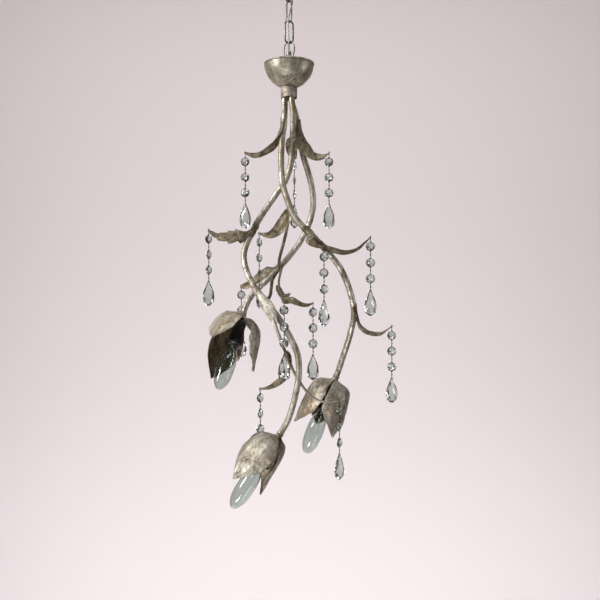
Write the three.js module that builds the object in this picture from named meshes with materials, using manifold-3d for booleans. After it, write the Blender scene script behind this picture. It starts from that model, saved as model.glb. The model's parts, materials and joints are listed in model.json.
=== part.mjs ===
// Three-light leaf-and-crystal pendant: a chain-hung lamp with three bent tube arms, each ending in
// a downward flower of three sheet petals round a candle lamp, with crystal strands on the leaf tips.
// Millimetres, +Z up. The origin is the middle of the ceiling plate's top face; the lamp hangs below.
import * as THREE from 'three';
import { mergeVertices } from 'three/addons/utils/BufferGeometryUtils.js';
import Module from 'manifold-3d';

const wasm = await Module();
wasm.setup();

// ---- Driving dimensions ----------------------------------------------------------------------
const gap = 0.3; // air left between two pieces that touch
const sheet = 1.2; // gauge of the leaf and petal sheet

const plate = { radius: 32, thickness: 3, screwRadius: 2.5, screwReach: 22 };
const hook = { wireRadius: 2, bendRadius: 9, drop: 75, turn: -60, pointRise: 16 };
const rose = { radius: 46, depth: 42, wall: 1.2, neckRadius: 8.5 };
const chain = { wireRadius: 1.75, length: 48.5, width: 20.5, turns: [30, -55, 20] };
const loop = { wireRadius: 1.6, width: 26, height: 45, turn: -30, nutRadius: 9, nutHeight: 10 };
const flex = { radius: 1.8, weave: 6.5, centre: 3, tail: 34 };
const nipple = { radius: 5, bore: 3.3, fit: 0.4, rise: 13 };
const cup = { radius: 50, wall: 1.5, footRadius: 14, footThickness: 2, belowLoopNut: 1 };
const locknut = { radius: 9, height: 5 };
const block = { width: 15, length: 28, height: 11, reach: 20, rise: 19 };
const collar = { wall: 1, drop: 20, crown: 3, fit: 0.7 };
const arm = { radius: 6, bore: 4.4, ring: 8.5, reach: 128, drop: 684, steps: 34 };
const stem = { radius: 3.2, branchRadius: 2.4 };
const tip = { halfWidth: 1 };
const petal = { belly: 46, tipRadius: 50, length: 105, halfWidth: 46, rootRadius: arm.radius + 1.2, grip: 8, rootHalfWidth: 5.8 };
const holder = { radius: 12.5, length: 67, ringRadius: 18, bore: 7.7, depth: 25, shankRadius: 4.8 };
const bulb = { radius: 18, length: 96, wall: 0.9, neckRadius: 7.6, capRadius: 6.8, capLength: 24 };
const bead = { radius: 8.6, first: 18, pitch: 31, count: 3 };
const drop = { radius: 12.8, length: 50, pinLength: 13 };
const crystal = { flatness: 0.45, pinRadius: 0.9, ringRadius: 4, ringWire: 0.5, ringSag: 0.9 };

// The arms' bends were drawn for this reach (axis to the widest bend) and drop (collar to lowest end).
const drawn = { reach: 128, drop: 684 };

// ---- Heights worked out from the values above ---------------------------------------------------
const pitch = chain.length - 4 * chain.wireRadius - gap;
const hookSeat = -hook.drop + hook.wireRadius;
const firstLinkWire = hookSeat + hook.wireRadius + gap + chain.wireRadius;
const linkCentre = (n) => firstLinkWire + chain.wireRadius - chain.length / 2 - n * pitch;
const lastLinkWire = linkCentre(chain.turns.length - 1) - chain.length / 2 + chain.wireRadius;
const loopWire = lastLinkWire + chain.wireRadius + gap + loop.wireRadius;
const loopNutTop = loopWire + loop.wireRadius - loop.height + loop.nutHeight;
const loopNutFoot = loopNutTop - loop.nutHeight;
const rimHeight = loopNutFoot - cup.belowLoopNut;
const cupRise = Math.sqrt(cup.radius ** 2 - cup.footRadius ** 2);
const cupFoot = rimHeight - cupRise;
const collarTop = cupFoot - gap;
const armTop = collarTop - collar.crown - gap;

// ---- Finishes ----------------------------------------------------------------------------------
const finish = (color, roughness, metalness) => new THREE.MeshStandardMaterial({ color, roughness, metalness });
const silverLeaf = () => finish(0xa59f90, 0.42, 0.85);
const agedLeaf = () => finish(0x7a6a52, 0.5, 0.75);
const steel = () => finish(0x8d8f8c, 0.35, 0.95);
const phenolic = () => finish(0x14120f, 0.45, 0);
const clearGlass = () => finish(0xdfe4e2, 0.05, 0);
const clearCable = () => finish(0xc9c8c2, 0.3, 0);
const whiteNylon = () => finish(0xe9e6dc, 0.5, 0);

// ---- Shape helpers --------------------------------------------------------------------------
const radians = THREE.MathUtils.degToRad;

/** Merges shared corners, drops collapsed triangles and turns the faces outward. */
function closed(geometry) {
  const bare = new THREE.BufferGeometry();
  bare.setAttribute('position', geometry.getAttribute('position'));
  if (geometry.index) bare.setIndex(geometry.index);
  const welded = mergeVertices(bare, 1e-4);
  const corners = welded.index.array;
  const kept = [];
  for (let i = 0; i < corners.length; i += 3) {
    const [a, b, c] = [corners[i], corners[i + 1], corners[i + 2]];
    if (a !== b && b !== c && c !== a) kept.push(a, b, c);
  }
  const position = welded.getAttribute('position');
  const p = [new THREE.Vector3(), new THREE.Vector3(), new THREE.Vector3()];
  let volume = 0;
  for (let i = 0; i < kept.length; i += 3) {
    p.forEach((v, k) => v.fromBufferAttribute(position, kept[i + k]));
    volume += p[0].dot(p[1].cross(p[2]));
  }
  if (volume < 0) kept.reverse();
  welded.setIndex(kept);
  return welded;
}

/** A closed geometry as a manifold solid, for joining and cutting. */
function solidOf(geometry) {
  const whole = closed(geometry);
  const vertProperties = Float32Array.from(whole.getAttribute('position').array);
  const triVerts = Uint32Array.from(whole.index.array);
  return new wasm.Manifold(new wasm.Mesh({ numProp: 3, vertProperties, triVerts }));
}

/** A manifold solid's largest piece as a geometry, so a cut leaves no crumbs. */
function geometryOf(solid) {
  const pieces = solid.decompose();
  pieces.sort((a, b) => b.volume() - a.volume());
  const mesh = pieces[0].getMesh();
  const geometry = new THREE.BufferGeometry();
  geometry.setAttribute('position', new THREE.BufferAttribute(mesh.vertProperties, 3));
  geometry.setIndex(new THREE.BufferAttribute(mesh.triVerts, 1));
  return geometry;
}

/** Several geometries joined into one solid, then cut clear of others. */
function joined(parts, cutters = []) {
  let solid = solidOf(parts[0]);
  for (const part of parts.slice(1)) solid = solid.add(solidOf(part));
  for (const cutter of cutters) solid = solid.subtract(solidOf(cutter));
  return geometryOf(solid);
}

/** A turned shape about Z from [radius, height] points. */
function turned(profile, segments) {
  const points = profile.map(([radius, height]) => new THREE.Vector2(radius, height));
  return closed(new THREE.LatheGeometry(points, segments).rotateX(Math.PI / 2));
}

function polygon(radius, sides, turn = 0) {
  const corners = [];
  for (let i = 0; i < sides; i += 1) {
    const angle = turn + (2 * Math.PI * i) / sides;
    corners.push(new THREE.Vector2(radius * Math.cos(angle), radius * Math.sin(angle)));
  }
  return corners;
}

/** A round bar, or a tube if it has a bore, along a curve. */
function bar(curve, radius, { sides = 8, steps = 24, bore = 0 } = {}) {
  const shape = new THREE.Shape(polygon(radius, sides));
  if (bore > 0) shape.holes.push(new THREE.Path(polygon(bore, 6)));
  return closed(new THREE.ExtrudeGeometry(shape, { steps, bevelEnabled: false, extrudePath: curve }));
}

const smooth = (points) => new THREE.CatmullRomCurve3(points, false, 'centripetal');

/** A straight plate of a given outline, from one height to another. */
function slab(outline, low, high, holes = []) {
  const shape = new THREE.Shape(outline);
  shape.holes.push(...holes.map((hole) => new THREE.Path(hole)));
  const depth = high - low;
  return closed(new THREE.ExtrudeGeometry(shape, { depth, bevelEnabled: false }).translate(0, 0, low));
}

/**
 * A leaf of bent sheet: it follows its spine, its half width swells from the base and narrows to the
 * tip, its edges curl to one side by a share of the half width, and teeth bite every other row in.
 */
function leaf(spine, { halfWidth, base = 0.75 * arm.radius, across, curl = 0.3, teeth = 0, steps = 9 }) {
  const curve = smooth(spine);
  const geometry = new THREE.BoxGeometry(1, 1, 1, 4, 1, steps);
  const position = geometry.getAttribute('position');
  const direction = new THREE.Vector3(...across);
  for (let i = 0; i < position.count; i += 1) {
    const along = position.getZ(i) + 0.5;
    const side = 2 * position.getX(i);
    const tangent = curve.getTangentAt(along);
    const lateral = direction.clone().addScaledVector(tangent, -direction.dot(tangent)).normalize();
    const normal = tangent.clone().cross(lateral);
    const swell = 3.16 * Math.pow(along, 0.7) * (1 - along);
    const whole = (halfWidth - base) * swell + base * (1 - along) + tip.halfWidth * along;
    const width = Math.round(along * steps) % 2 === 1 ? whole * (1 - teeth) : whole;
    const lift = curl * width * side * side + position.getY(i) * sheet;
    const point = curve.getPointAt(along).addScaledVector(lateral, width * side).addScaledVector(normal, lift);
    position.setXYZ(i, point.x, point.y, point.z);
  }
  return closed(geometry);
}

function named(name, geometry, material) {
  geometry.computeVertexNormals();
  const mesh = new THREE.Mesh(geometry, material);
  mesh.name = name;
  return mesh;
}

/** A point at a radius, a direction in degrees and a height, about the lamp's axis. */
function polar(radius, degrees, height) {
  return new THREE.Vector3(radius * Math.cos(radians(degrees)), radius * Math.sin(radians(degrees)), height);
}

// ---- Ceiling fitting -----------------------------------------------------------------------
function ceilingFitting() {
  const fitting = new THREE.Group();
  const screwHoles = [-1, 1].map((side) =>
    polygon(plate.screwRadius, 10).map((p) => new THREE.Vector2(p.x + side * plate.screwReach, p.y)),
  );
  fitting.add(named('ceiling_plate', slab(polygon(plate.radius, 32), -plate.thickness, 0, screwHoles), steel()));

  const seat = hookSeat;
  const bend = hook.bendRadius;
  const path = smooth([
    new THREE.Vector3(0, 0, -plate.thickness - gap),
    new THREE.Vector3(0, 0, seat + 3.4 * bend),
    new THREE.Vector3(0.45 * bend, 0, seat + 2.3 * bend),
    new THREE.Vector3(bend, 0, seat + bend),
    new THREE.Vector3(0.7 * bend, 0, seat + 0.3 * bend),
    new THREE.Vector3(0, 0, seat),
    new THREE.Vector3(-0.7 * bend, 0, seat + 0.3 * bend),
    new THREE.Vector3(-bend, 0, seat + bend),
    new THREE.Vector3(-bend, 0, seat + hook.pointRise),
  ]);
  const hookBar = bar(path, hook.wireRadius, { steps: 36 }).rotateZ(radians(hook.turn));
  fitting.add(named('ceiling_hook', hookBar, steel()));

  const top = -gap;
  const foot = top - rose.depth;
  const wall = rose.wall;
  const dome = (radius, lift) =>
    [0, 22, 44, 62].map((degrees) => [
      radius * Math.cos(radians(degrees)),
      top - (rose.depth - lift) * (Math.sin(radians(degrees)) / Math.sin(radians(75))),
    ]);
  const shell = [
    ...dome(rose.radius, 0),
    [rose.neckRadius + 5, foot],
    [rose.neckRadius, foot],
    [rose.neckRadius, foot + wall],
    [rose.neckRadius + 4.5, foot + wall],
    ...dome(rose.radius - wall, wall).reverse(),
    [rose.radius, top],
  ];
  fitting.add(named('ceiling_rose', turned(shell, 24), silverLeaf()));
  return fitting;
}

// ---- Chain, loop and cable ---------------------------------------------------------------------
/** An oval link: a ring whose upper and lower halves are drawn apart, standing in the XZ plane. */
function oval(width, length, wire) {
  const bend = width / 2 - wire;
  const ring = new THREE.TorusGeometry(bend, wire, 8, 20);
  const position = ring.getAttribute('position');
  const stretch = length / 2 - wire - bend;
  const mid = 1e-3 + wire * 1e-3;
  for (let i = 0; i < position.count; i += 1) {
    const y = position.getY(i);
    if (Math.abs(y) > mid) position.setY(i, y + Math.sign(y) * stretch);
  }
  return closed(ring).rotateX(Math.PI / 2);
}

function chainLinks() {
  const names = ['chain_link_top', 'chain_link_middle', 'chain_link_bottom'];
  return names.map((name, n) => {
    const link = named(name, oval(chain.width, chain.length, chain.wireRadius), steel());
    link.position.z = linkCentre(n);
    link.rotation.z = radians(chain.turns[n]);
    return link;
  });
}

/** The cable weaves down beside the links, through the middle of each, and into the nipple. */
function supplyCable() {
  const [first, second, third] = chain.turns;
  const wide = flex.weave;
  const between = (n) => (linkCentre(n) + linkCentre(n + 1)) / 2;
  const nippleTop = loopNutTop + nipple.rise;
  const route = [
    polar(wide - 1, first + 45, -plate.thickness - 4),
    polar(wide - 1, first + 45, -rose.depth),
    polar(wide, first + 45, firstLinkWire),
    polar(flex.centre, first, linkCentre(0)),
    polar(wide, (first + second) / 2, between(0)),
    polar(flex.centre, second, linkCentre(1)),
    polar(wide, (second + third) / 2 - 90, between(1)),
    polar(wide, -100, linkCentre(2)),
    polar(wide, -95, lastLinkWire),
    polar(0.5 * wide, -95, (lastLinkWire + nippleTop) / 2 - 1),
    new THREE.Vector3(0, 0, nippleTop - 2),
    new THREE.Vector3(0, 0, nippleTop - flex.tail / 2),
    new THREE.Vector3(0, 0, nippleTop - flex.tail),
  ];
  return named('supply_flex', bar(smooth(route), flex.radius, { steps: 34 }), clearCable());
}

function hangingLoop() {
  const half = loop.width / 2 - loop.wireRadius;
  const side = (s) => [
    new THREE.Vector3(s * (loop.nutRadius - loop.wireRadius), 0, loopNutFoot + 0.5 * loop.nutHeight),
    new THREE.Vector3(s * 0.86 * half, 0, loopNutTop + 0.18 * loop.height),
    new THREE.Vector3(s * half, 0, loopWire - 0.36 * loop.height),
    new THREE.Vector3(s * 0.78 * half, 0, loopWire - 0.12 * loop.height),
    new THREE.Vector3(s * 0.42 * half, 0, loopWire - 0.028 * loop.height),
  ];
  const path = smooth([...side(-1), new THREE.Vector3(0, 0, loopWire), ...side(1).reverse()]);
  const bow = bar(path, loop.wireRadius, { sides: 6, steps: 26 });
  const bore = nipple.radius + nipple.fit;
  const nut = slab(polygon(loop.nutRadius, 12), loopNutFoot, loopNutTop);
  const hole = slab(polygon(bore, 16), loopNutFoot - 1, loopNutTop + 1);
  return named('hanging_loop', joined([bow, nut], [hole]).rotateZ(radians(loop.turn)), steel());
}

// ---- Canopy cup and what it holds -----------------------------------------------------------------
function canopyParts() {
  const parts = new THREE.Group();
  const inner = cup.radius - cup.wall;
  const hole = nipple.radius + nipple.fit;
  const floor = cupFoot + cup.footThickness;
  const floorRadius = Math.sqrt(inner ** 2 - (rimHeight - floor) ** 2);
  const arc = (radius, from, to, count) => {
    const points = [];
    for (let i = 0; i <= count; i += 1) {
      const angle = from + ((to - from) * i) / count;
      points.push([radius * Math.cos(angle), rimHeight - radius * Math.sin(angle)]);
    }
    return points;
  };
  const bowl = [
    ...arc(cup.radius, 0, Math.acos(cup.footRadius / cup.radius), 6),
    [hole, cupFoot],
    [hole, floor],
    ...arc(inner, Math.acos(floorRadius / inner), 0, 6),
    [cup.radius, rimHeight],
  ];
  parts.add(named('canopy_cup', turned(bowl, 28), silverLeaf()));

  const nippleTop = loopNutTop + nipple.rise;
  const tube = slab(polygon(nipple.radius, 16), armTop + gap, nippleTop, [polygon(nipple.bore, 12)]);
  parts.add(named('entry_nipple', tube, steel()));

  const nut = slab(polygon(locknut.radius, 6), floor + gap, floor + gap + locknut.height, [polygon(hole, 16)]);
  parts.add(named('cup_locknut', nut, steel()));

  const terminals = new THREE.BoxGeometry(block.width, block.length, block.height);
  const terminalBlock = named('terminal_block', closed(terminals), whiteNylon());
  terminalBlock.position.set(block.reach, 0, floor + block.rise);
  parts.add(terminalBlock);

  const innerSleeve = arm.ring + arm.radius + collar.fit;
  const outerSleeve = innerSleeve + collar.wall;
  const sleeve = turned(
    [
      [hole, collarTop],
      [outerSleeve, collarTop],
      [outerSleeve, collarTop - collar.crown - collar.drop],
      [innerSleeve, collarTop - collar.crown - collar.drop],
      [innerSleeve, collarTop - collar.crown],
      [hole, collarTop - collar.crown],
      [hole, collarTop],
    ],
    24,
  );
  parts.add(named('arm_collar', sleeve, silverLeaf()));
  return parts;
}

// ---- Arms ------------------------------------------------------------------------------------
/** A place given as drawn: across, back, and down from the arms' top. */
function at(x, y, down) {
  const wide = arm.reach / drawn.reach;
  return new THREE.Vector3(x * wide, y * wide, armTop - (down * arm.drop) / drawn.drop);
}

/** An arm's centre line: straight through the collar, along its bends, straight into its flower. */
function armCurve(degrees, bends, end, heading) {
  const top = polar(arm.ring, degrees, armTop);
  const below = polar(arm.ring, degrees, armTop - collar.drop - 2);
  const last = at(...end);
  const before = last.clone().addScaledVector(new THREE.Vector3(...heading).normalize(), -2.5 * arm.radius);
  return smooth([top, below, ...bends.map((bend) => at(...bend)), before, last]);
}

const armCurves = {
  a: armCurve(187, [
    [-10, -5, 70], [-14, -11, 108], [-15, -22, 153], [-12, -34, 194], [-3, -44, 225], [12, -52, 261],
    [57, -55, 309], [103, -46, 365], [128, -24, 443], [122, -4, 489], [109, 16, 536],
  ], [93, 29, 584], [-0.36, 0.05, -0.93]),
  b: armCurve(-47, [
    [9, -5, 58], [7, 2, 99], [4, 12, 143], [-6, 20, 176], [-29, 24, 210], [-69, 18, 273],
    [-90, -4, 335], [-66, -28, 399], [-21, -48, 454], [16, -64, 522], [20, -68, 557],
    [14, -68, 600], [0, -64, 649],
  ], [-20, -60, 684], [-0.54, 0, -0.84]),
  c: armCurve(50, [
    [14, 9, 52], [20, 12, 86], [28, 18, 128], [42, 26, 174], [49, 36, 214], [45, 45, 250],
    [22, 56, 301], [-29, 60, 363], [-78, 52, 412], [-91, 45, 438],
  ], [-97, 36, 460], [-0.24, -0.5, -0.83]),
};
const armNames = Object.keys(armCurves);

/** The space that a brazed piece leaves round an arm. */
const armClearance = (name) =>
  bar(armCurves[name], arm.radius + 1.2 * gap, { steps: arm.steps });

/** A place against an arm's surface, at a height down the arm and in a level direction. */
function beside(name, down, degrees, distance = arm.radius + 1.6 * gap + sheet / 2) {
  const curve = armCurves[name];
  const height = at(0, 0, down).z;
  const samples = 200;
  let nearest = 0;
  for (let i = 0; i <= samples; i += 1) {
    const far = Math.abs(curve.getPointAt(i / samples).z - height);
    if (far < Math.abs(curve.getPointAt(nearest).z - height)) nearest = i / samples;
  }
  return curve.getPointAt(nearest).add(polar(distance, degrees, 0));
}

// ---- Leaves, tendrils and stems -----------------------------------------------------------------
// Each spine starts against its arm and ends at the pointed tip; `hangs` names the strand on the tip.
const leaves = {
  top_leaf_left: {
    spine: [beside('a', 58, 180), beside('a', 80, 178), at(-30, -4, 108), at(-48, 0, 123), at(-69, 2, 131), at(-90, 2, 126)],
    shape: { halfWidth: 12, across: [0, 0.85, -0.55] },
    clear: ['a'],
  },
  top_leaf_right: {
    spine: [beside('c', 58, -30), beside('c', 84, -40), at(33, 1, 114), at(48, -1, 131), at(67, 1, 134), at(82, 2, 126)],
    shape: { halfWidth: 17, across: [-0.35, -0.6, -0.7], curl: 0.2 },
    clear: ['c', 'b'],
  },
  top_leaf_back: {
    spine: [beside('c', 58, 145), beside('c', 76, 135), at(5, 44, 103), at(7, 64, 118), at(9, 80, 123), at(10, 95, 117)],
    shape: { halfWidth: (7 / 3) * arm.radius, across: [1, 0, 0] },
    clear: ['c', 'b'],
  },
  serrated_leaf: {
    spine: [beside('b', 262, 215), beside('b', 280, 215), at(-101, 1, 291), at(-122, -1, 294), at(-146, 1, 292), at(-163, 4, 280)],
    shape: { halfWidth: 19, across: [0, -0.45, -0.9], curl: 0.15, teeth: 0.28, steps: 14 },
    clear: ['b'],
  },
  rear_leaf: {
    spine: [beside('c', 341, 160, 9), beside('c', 352, 165, 12), at(-50, 64, 361), at(-68, 71, 374), at(-86, 79, 388), at(-104, 87, 393)],
    shape: { halfWidth: 14, across: [0.1, -0.6, -0.8] },
    clear: ['c'],
  },
  branch_leaf_front: {
    spine: [at(-8, -16, 418), at(-7, -38, 410), at(-6, -62, 414), at(-7, -80, 422), at(-8, -93, 423)],
    shape: { halfWidth: 10, across: [1, 0, 0] },
    clear: [],
  },
  lower_leaf: {
    spine: [at(-3, -59, 519), at(-2, -46, 541), at(-7, -30, 566), at(-22, -14, 585), at(-40, -4, 596), at(-60, 4, 600)],
    shape: { halfWidth: 7, base: 3, across: [0.35, -0.35, 0.85] },
    clear: ['b'],
  },
  small_bract: {
    spine: [beside('a', 282, 235), beside('a', 296, 235), at(40, -65, 306), at(54, -67, 317), at(69, -68, 321)],
    shape: { halfWidth: 10, across: [-0.6, 0, -0.8] },
    clear: ['a'],
  },
  right_tendril: {
    spine: [beside('a', 308, 282), beside('a', 320, 282), at(86, -62, 327), at(110, -60, 331), at(132, -60, 324), at(147, -60, 311), at(159, -60, 299)],
    shape: { halfWidth: 6.5, base: 4, across: [0, 0.5, -0.85], curl: 0.5 },
    clear: ['a'],
  },
  right_leaf: {
    spine: [beside('a', 428, -20), beside('a', 448, -15), at(143, -25, 472), at(157, -22, 484), at(180, -20, 487), at(205, -20, 472)],
    shape: { halfWidth: 11, across: [0, 0.8, -0.6] },
    clear: ['a'],
  },
};

/** The stem that ties arm A to arm C and on to arm B, with the leaf that grows from its top. */
function innerStem() {
  const touch = arm.radius + stem.radius;
  const route = smooth([
    beside('a', 236, 60, touch), at(0, -29, 256), at(-4, -12, 280), at(-12, 10, 310),
    at(-20, 32, 337), beside('c', 357, -85, touch), at(-34, 38, 379), at(-36, 18, 396), at(-37, -8, 411),
    beside('b', 424, 49, arm.radius),
  ]);
  const leafSpine = [route.getPointAt(0.03), at(-6, -30, 262), at(-21, -15, 281), at(-38, 1, 291), at(-62, 13, 287)];
  const blade = leaf(leafSpine, { halfWidth: 11, base: 3, across: [0.7, 0, -0.7] });
  const rod = bar(route, stem.radius, { sides: 6, steps: 26 });
  return { geometry: joined([rod, blade], armNames.map(armClearance)), spine: leafSpine };
}

/** The branch that leaves the stem's crossing of arm C and carries the leaf to the right. */
function branchLeaf() {
  const root = beside('c', 347, -85, arm.radius + stem.branchRadius);
  const route = [root, at(-21, 30, 384), at(-17, 8, 405), at(-6, -13, 421)];
  const leafSpine = [at(-14, 0, 411), at(-5, -13, 420), at(5, -17, 419), at(20, -22, 427), at(36, -25, 431), at(49, -26, 427)];
  const blade = leaf(leafSpine, { halfWidth: 9, base: 2.6, across: [0, -0.6, -0.8] });
  const rod = bar(smooth(route), stem.branchRadius, { sides: 6, steps: 12 });
  return { geometry: joined([rod, blade], [armClearance('c')]), spine: leafSpine };
}

/** The bract wrapped on arm B, whose tip is drawn out into the long tendril below. */
function bractTendril() {
  const blade = leaf(
    [beside('b', 398, 262), beside('b', 414, 262), at(-37, -57, 439), at(-29, -64, 458), at(-23, -67, 476)],
    { halfWidth: 14, across: [-0.85, 0, -0.5], curl: 0.2 },
  );
  const route = [
    at(-33, -60, 449), at(-27, -66, 466), at(-20, -68, 484), at(-12, -68, 506), at(-2, -62, 530), at(10, -50, 560),
    at(24, -45, 584), at(42, -47, 606), at(66, -50, 618), at(103, -50, 617),
  ];
  const tendril = leaf(route, { halfWidth: 5, base: 4, across: [1, 0, 1], curl: 0.6, steps: 18 });
  return { geometry: joined([blade, tendril], [armClearance('b')]), spine: route };
}

// ---- Flowers ---------------------------------------------------------------------------------
/** A petal's profile in its own plane: radius from the flower's axis and distance along it. */
function petalProfile(opening, stretch) {
  const root = petal.rootRadius;
  const long = stretch * petal.length;
  const reach = (radius) => root + (radius - root) * opening;
  return new THREE.SplineCurve([
    new THREE.Vector2(root, -petal.grip),
    new THREE.Vector2(root + 0.4, 0),
    new THREE.Vector2(reach(0.72 * petal.belly), 0.1 * long),
    new THREE.Vector2(reach(0.94 * petal.belly), 0.3 * long),
    new THREE.Vector2(reach(petal.belly), 0.58 * long),
    new THREE.Vector2(reach(petal.tipRadius), long),
  ]);
}

/** A cupped petal: a strip of a surface of revolution, wide in the middle, from one closed box. */
function petalShape(opening, stretch) {
  const profile = petalProfile(opening, stretch);
  const geometry = new THREE.BoxGeometry(1, 1, 1, 4, 1, 9);
  const position = geometry.getAttribute('position');
  for (let i = 0; i < position.count; i += 1) {
    const along = position.getZ(i) + 0.5;
    const point = profile.getPointAt(along);
    const slope = profile.getTangentAt(along);
    const swell = (petal.halfWidth - petal.rootHalfWidth) * Math.sin(Math.PI * Math.pow(along, 1.15));
    const wanted = swell + petal.rootHalfWidth * (1 - along) + tip.halfWidth * along;
    const room = petal.rootHalfWidth + 1.02 * (point.x - petal.rootRadius);
    const half = Math.min(wanted, room);
    const radius = point.x - position.getY(i) * sheet * slope.y;
    const height = point.y + position.getY(i) * sheet * slope.x;
    const angle = (2 * position.getX(i) * half) / point.x;
    position.setXYZ(i, radius * Math.cos(angle), radius * Math.sin(angle), height);
  }
  return closed(geometry);
}

function lampholder() {
  const mouth = holder.length;
  const { radius, ringRadius, bore, depth, shankRadius } = holder;
  return turned(
    [
      [0, gap], [shankRadius, gap], [shankRadius, 6], [0.75 * radius, 7.5], [radius, 11],
      [radius, mouth - 9], [ringRadius, mouth - 8], [ringRadius, mouth - 4], [radius, mouth - 3],
      [radius, mouth], [bore, mouth], [bore, mouth - depth], [0, mouth - depth],
    ],
    16,
  );
}

function bulbCap() {
  const low = holder.length - holder.depth + 1;
  const high = low + bulb.capLength;
  return turned([[0, low], [3.5, low], [bulb.capRadius, low + 3], [bulb.capRadius, high], [0, high]], 12);
}

function bulbGlass() {
  const low = holder.length - holder.depth + 1 + bulb.capLength + gap;
  const high = low + bulb.length;
  const { radius, neckRadius } = bulb;
  const wide = (share) => neckRadius + (radius - neckRadius) * share;
  const flank = [[0, 0], [0.3, 0.08], [0.72, 0.2], [0.95, 0.34], [1, 0.48]];
  const nose = [[0.97, 0.64], [0.86, 0.78], [0.62, 0.9], [0.3, 0.975]];
  const outer = [
    ...flank.map(([share, along]) => [wide(share), low + along * bulb.length]),
    ...nose.map(([share, along]) => [radius * share, low + along * bulb.length]),
    [0, high],
  ];
  const inner = outer.map(([r, z], n) => [Math.max(r - bulb.wall, 0), n < flank.length ? z : z - bulb.wall]);
  return turned([...outer, ...inner.reverse(), outer[0]], 14);
}

/** One flower in its own frame: its axis is +Z, from the arm's end to the lamp's nose. */
function flower(name, petals) {
  const group = new THREE.Group();
  petals.forEach(({ turn, opening = 1, stretch = 1 }, n) => {
    const leafFinish = n === 1 ? agedLeaf() : silverLeaf();
    const blade = named(`flower_${name}_petal_${n + 1}`, petalShape(opening, stretch), leafFinish);
    blade.rotation.z = radians(turn);
    group.add(blade);
  });
  group.add(named(`flower_${name}_lampholder`, lampholder(), phenolic()));
  group.add(named(`flower_${name}_bulb_cap`, bulbCap(), steel()));
  group.add(named(`flower_${name}_bulb_glass`, bulbGlass(), clearGlass()));

  const curve = armCurves[name];
  const axis = curve.getTangentAt(1);
  const right = axis.clone().cross(new THREE.Vector3(0, 1, 0)).normalize();
  const front = axis.clone().cross(right);
  group.quaternion.setFromRotationMatrix(new THREE.Matrix4().makeBasis(right, front, axis));
  group.position.copy(curve.getPointAt(1));
  return group;
}

const flowers = {
  a: [{ turn: 45 }, { turn: 272, opening: 0.88 }, { turn: 160 }],
  b: [{ turn: 129 }, { turn: 243, opening: 0.95 }, { turn: 348, opening: 0.6, stretch: 1.08 }],
  c: [{ turn: 5, opening: 1.1, stretch: 1.02 }, { turn: 240, stretch: 1.2 }, { turn: 134, opening: 1.24, stretch: 0.75 }],
};

// ---- Crystal strands --------------------------------------------------------------------------
/** A strand under its ring: three flattened octagon beads and a pear drop, linked by fine pins. */
function strandShape(ringTurn) {
  const pin = crystal.pinRadius;
  const cornerRise = 0.42 * bead.radius;
  const top = -crystal.ringSag - crystal.ringRadius;
  const profile = [[0, top], [pin, top]];
  for (let n = 0; n < bead.count; n += 1) {
    const centre = -bead.first - n * bead.pitch;
    profile.push([pin, centre + bead.radius + 0.6]);
    profile.push([cornerRise, centre + bead.radius]);
    profile.push([bead.radius, centre + cornerRise]);
    profile.push([bead.radius, centre - cornerRise]);
    profile.push([cornerRise, centre - bead.radius]);
    profile.push([pin, centre - bead.radius - 0.6]);
  }
  const dropTop = -bead.first - (bead.count - 1) * bead.pitch - bead.radius - drop.pinLength;
  profile.push([pin, dropTop]);
  const pear = [[0.22, 0.03], [0.64, 0.32], [1, 0.64], [0.8, 0.87]];
  pear.forEach(([share, along]) => profile.push([drop.radius * share, dropTop - along * drop.length]));
  profile.push([0, dropTop - drop.length]);
  const beads = turned(profile, 6).scale(1, crystal.flatness, 1);
  const ring = new THREE.TorusGeometry(crystal.ringRadius, crystal.ringWire, 4, 8);
  ring.rotateY(Math.PI / 2).rotateZ(ringTurn).translate(0, 0, -crystal.ringSag);
  return joined([beads, ring]);
}

/**
 * Hangs a strand on a leaf tip: the ring circles the tip and the beads' faces turn to `facing`.
 * It swings about the level direction in which the tip points.
 */
function strand(name, spine, facing) {
  const curve = smooth(spine);
  const heading = curve.getTangentAt(0.98);
  const tipTurn = Math.atan2(heading.y, heading.x);
  const mesh = named(name, strandShape(tipTurn - radians(facing)), clearGlass());
  mesh.position.copy(curve.getPointAt(0.98));
  mesh.rotation.z = radians(facing);
  mesh.userData.swingsAbout = [Math.cos(tipTurn), Math.sin(tipTurn), 0];
  return mesh;
}

// ---- The lamp ---------------------------------------------------------------------------------
function lampBody() {
  const body = new THREE.Group();
  body.add(hangingLoop(), canopyParts());
  const spines = {};
  for (const name of armNames) {
    const tube = bar(armCurves[name], arm.radius, { steps: arm.steps, bore: arm.bore });
    body.add(named(`arm_${name}`, tube, silverLeaf()));
    body.add(flower(name, flowers[name]));
  }
  for (const [name, { spine, shape, clear }] of Object.entries(leaves)) {
    body.add(named(name, joined([leaf(spine, shape)], clear.map(armClearance)), agedLeaf()));
    spines[name] = spine;
  }
  const made = { inner_stem: innerStem(), branch_leaf_right: branchLeaf(), bract_tendril: bractTendril() };
  for (const [name, { geometry, spine }] of Object.entries(made)) {
    body.add(named(name, geometry, silverLeaf()));
    spines[name] = spine;
  }
  const strands = {
    strand_top_left: ['top_leaf_left', 0],
    strand_top_right: ['top_leaf_right', 8],
    strand_top_back: ['top_leaf_back', 80],
    strand_serrated_leaf: ['serrated_leaf', 0],
    strand_inner_stem: ['inner_stem', 75],
    strand_rear_leaf: ['rear_leaf', 15],
    strand_branch_front: ['branch_leaf_front', -10],
    strand_branch_right: ['branch_leaf_right', 5],
    strand_right_tendril: ['right_tendril', -6],
    strand_small_bract: ['small_bract', 10],
    strand_right_leaf: ['right_leaf', 0],
    strand_lower_leaf: ['lower_leaf', 12],
    strand_low_tendril: ['bract_tendril', 60],
  };
  for (const [name, [host, facing]] of Object.entries(strands)) body.add(strand(name, spines[host], facing));
  return body;
}

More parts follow.
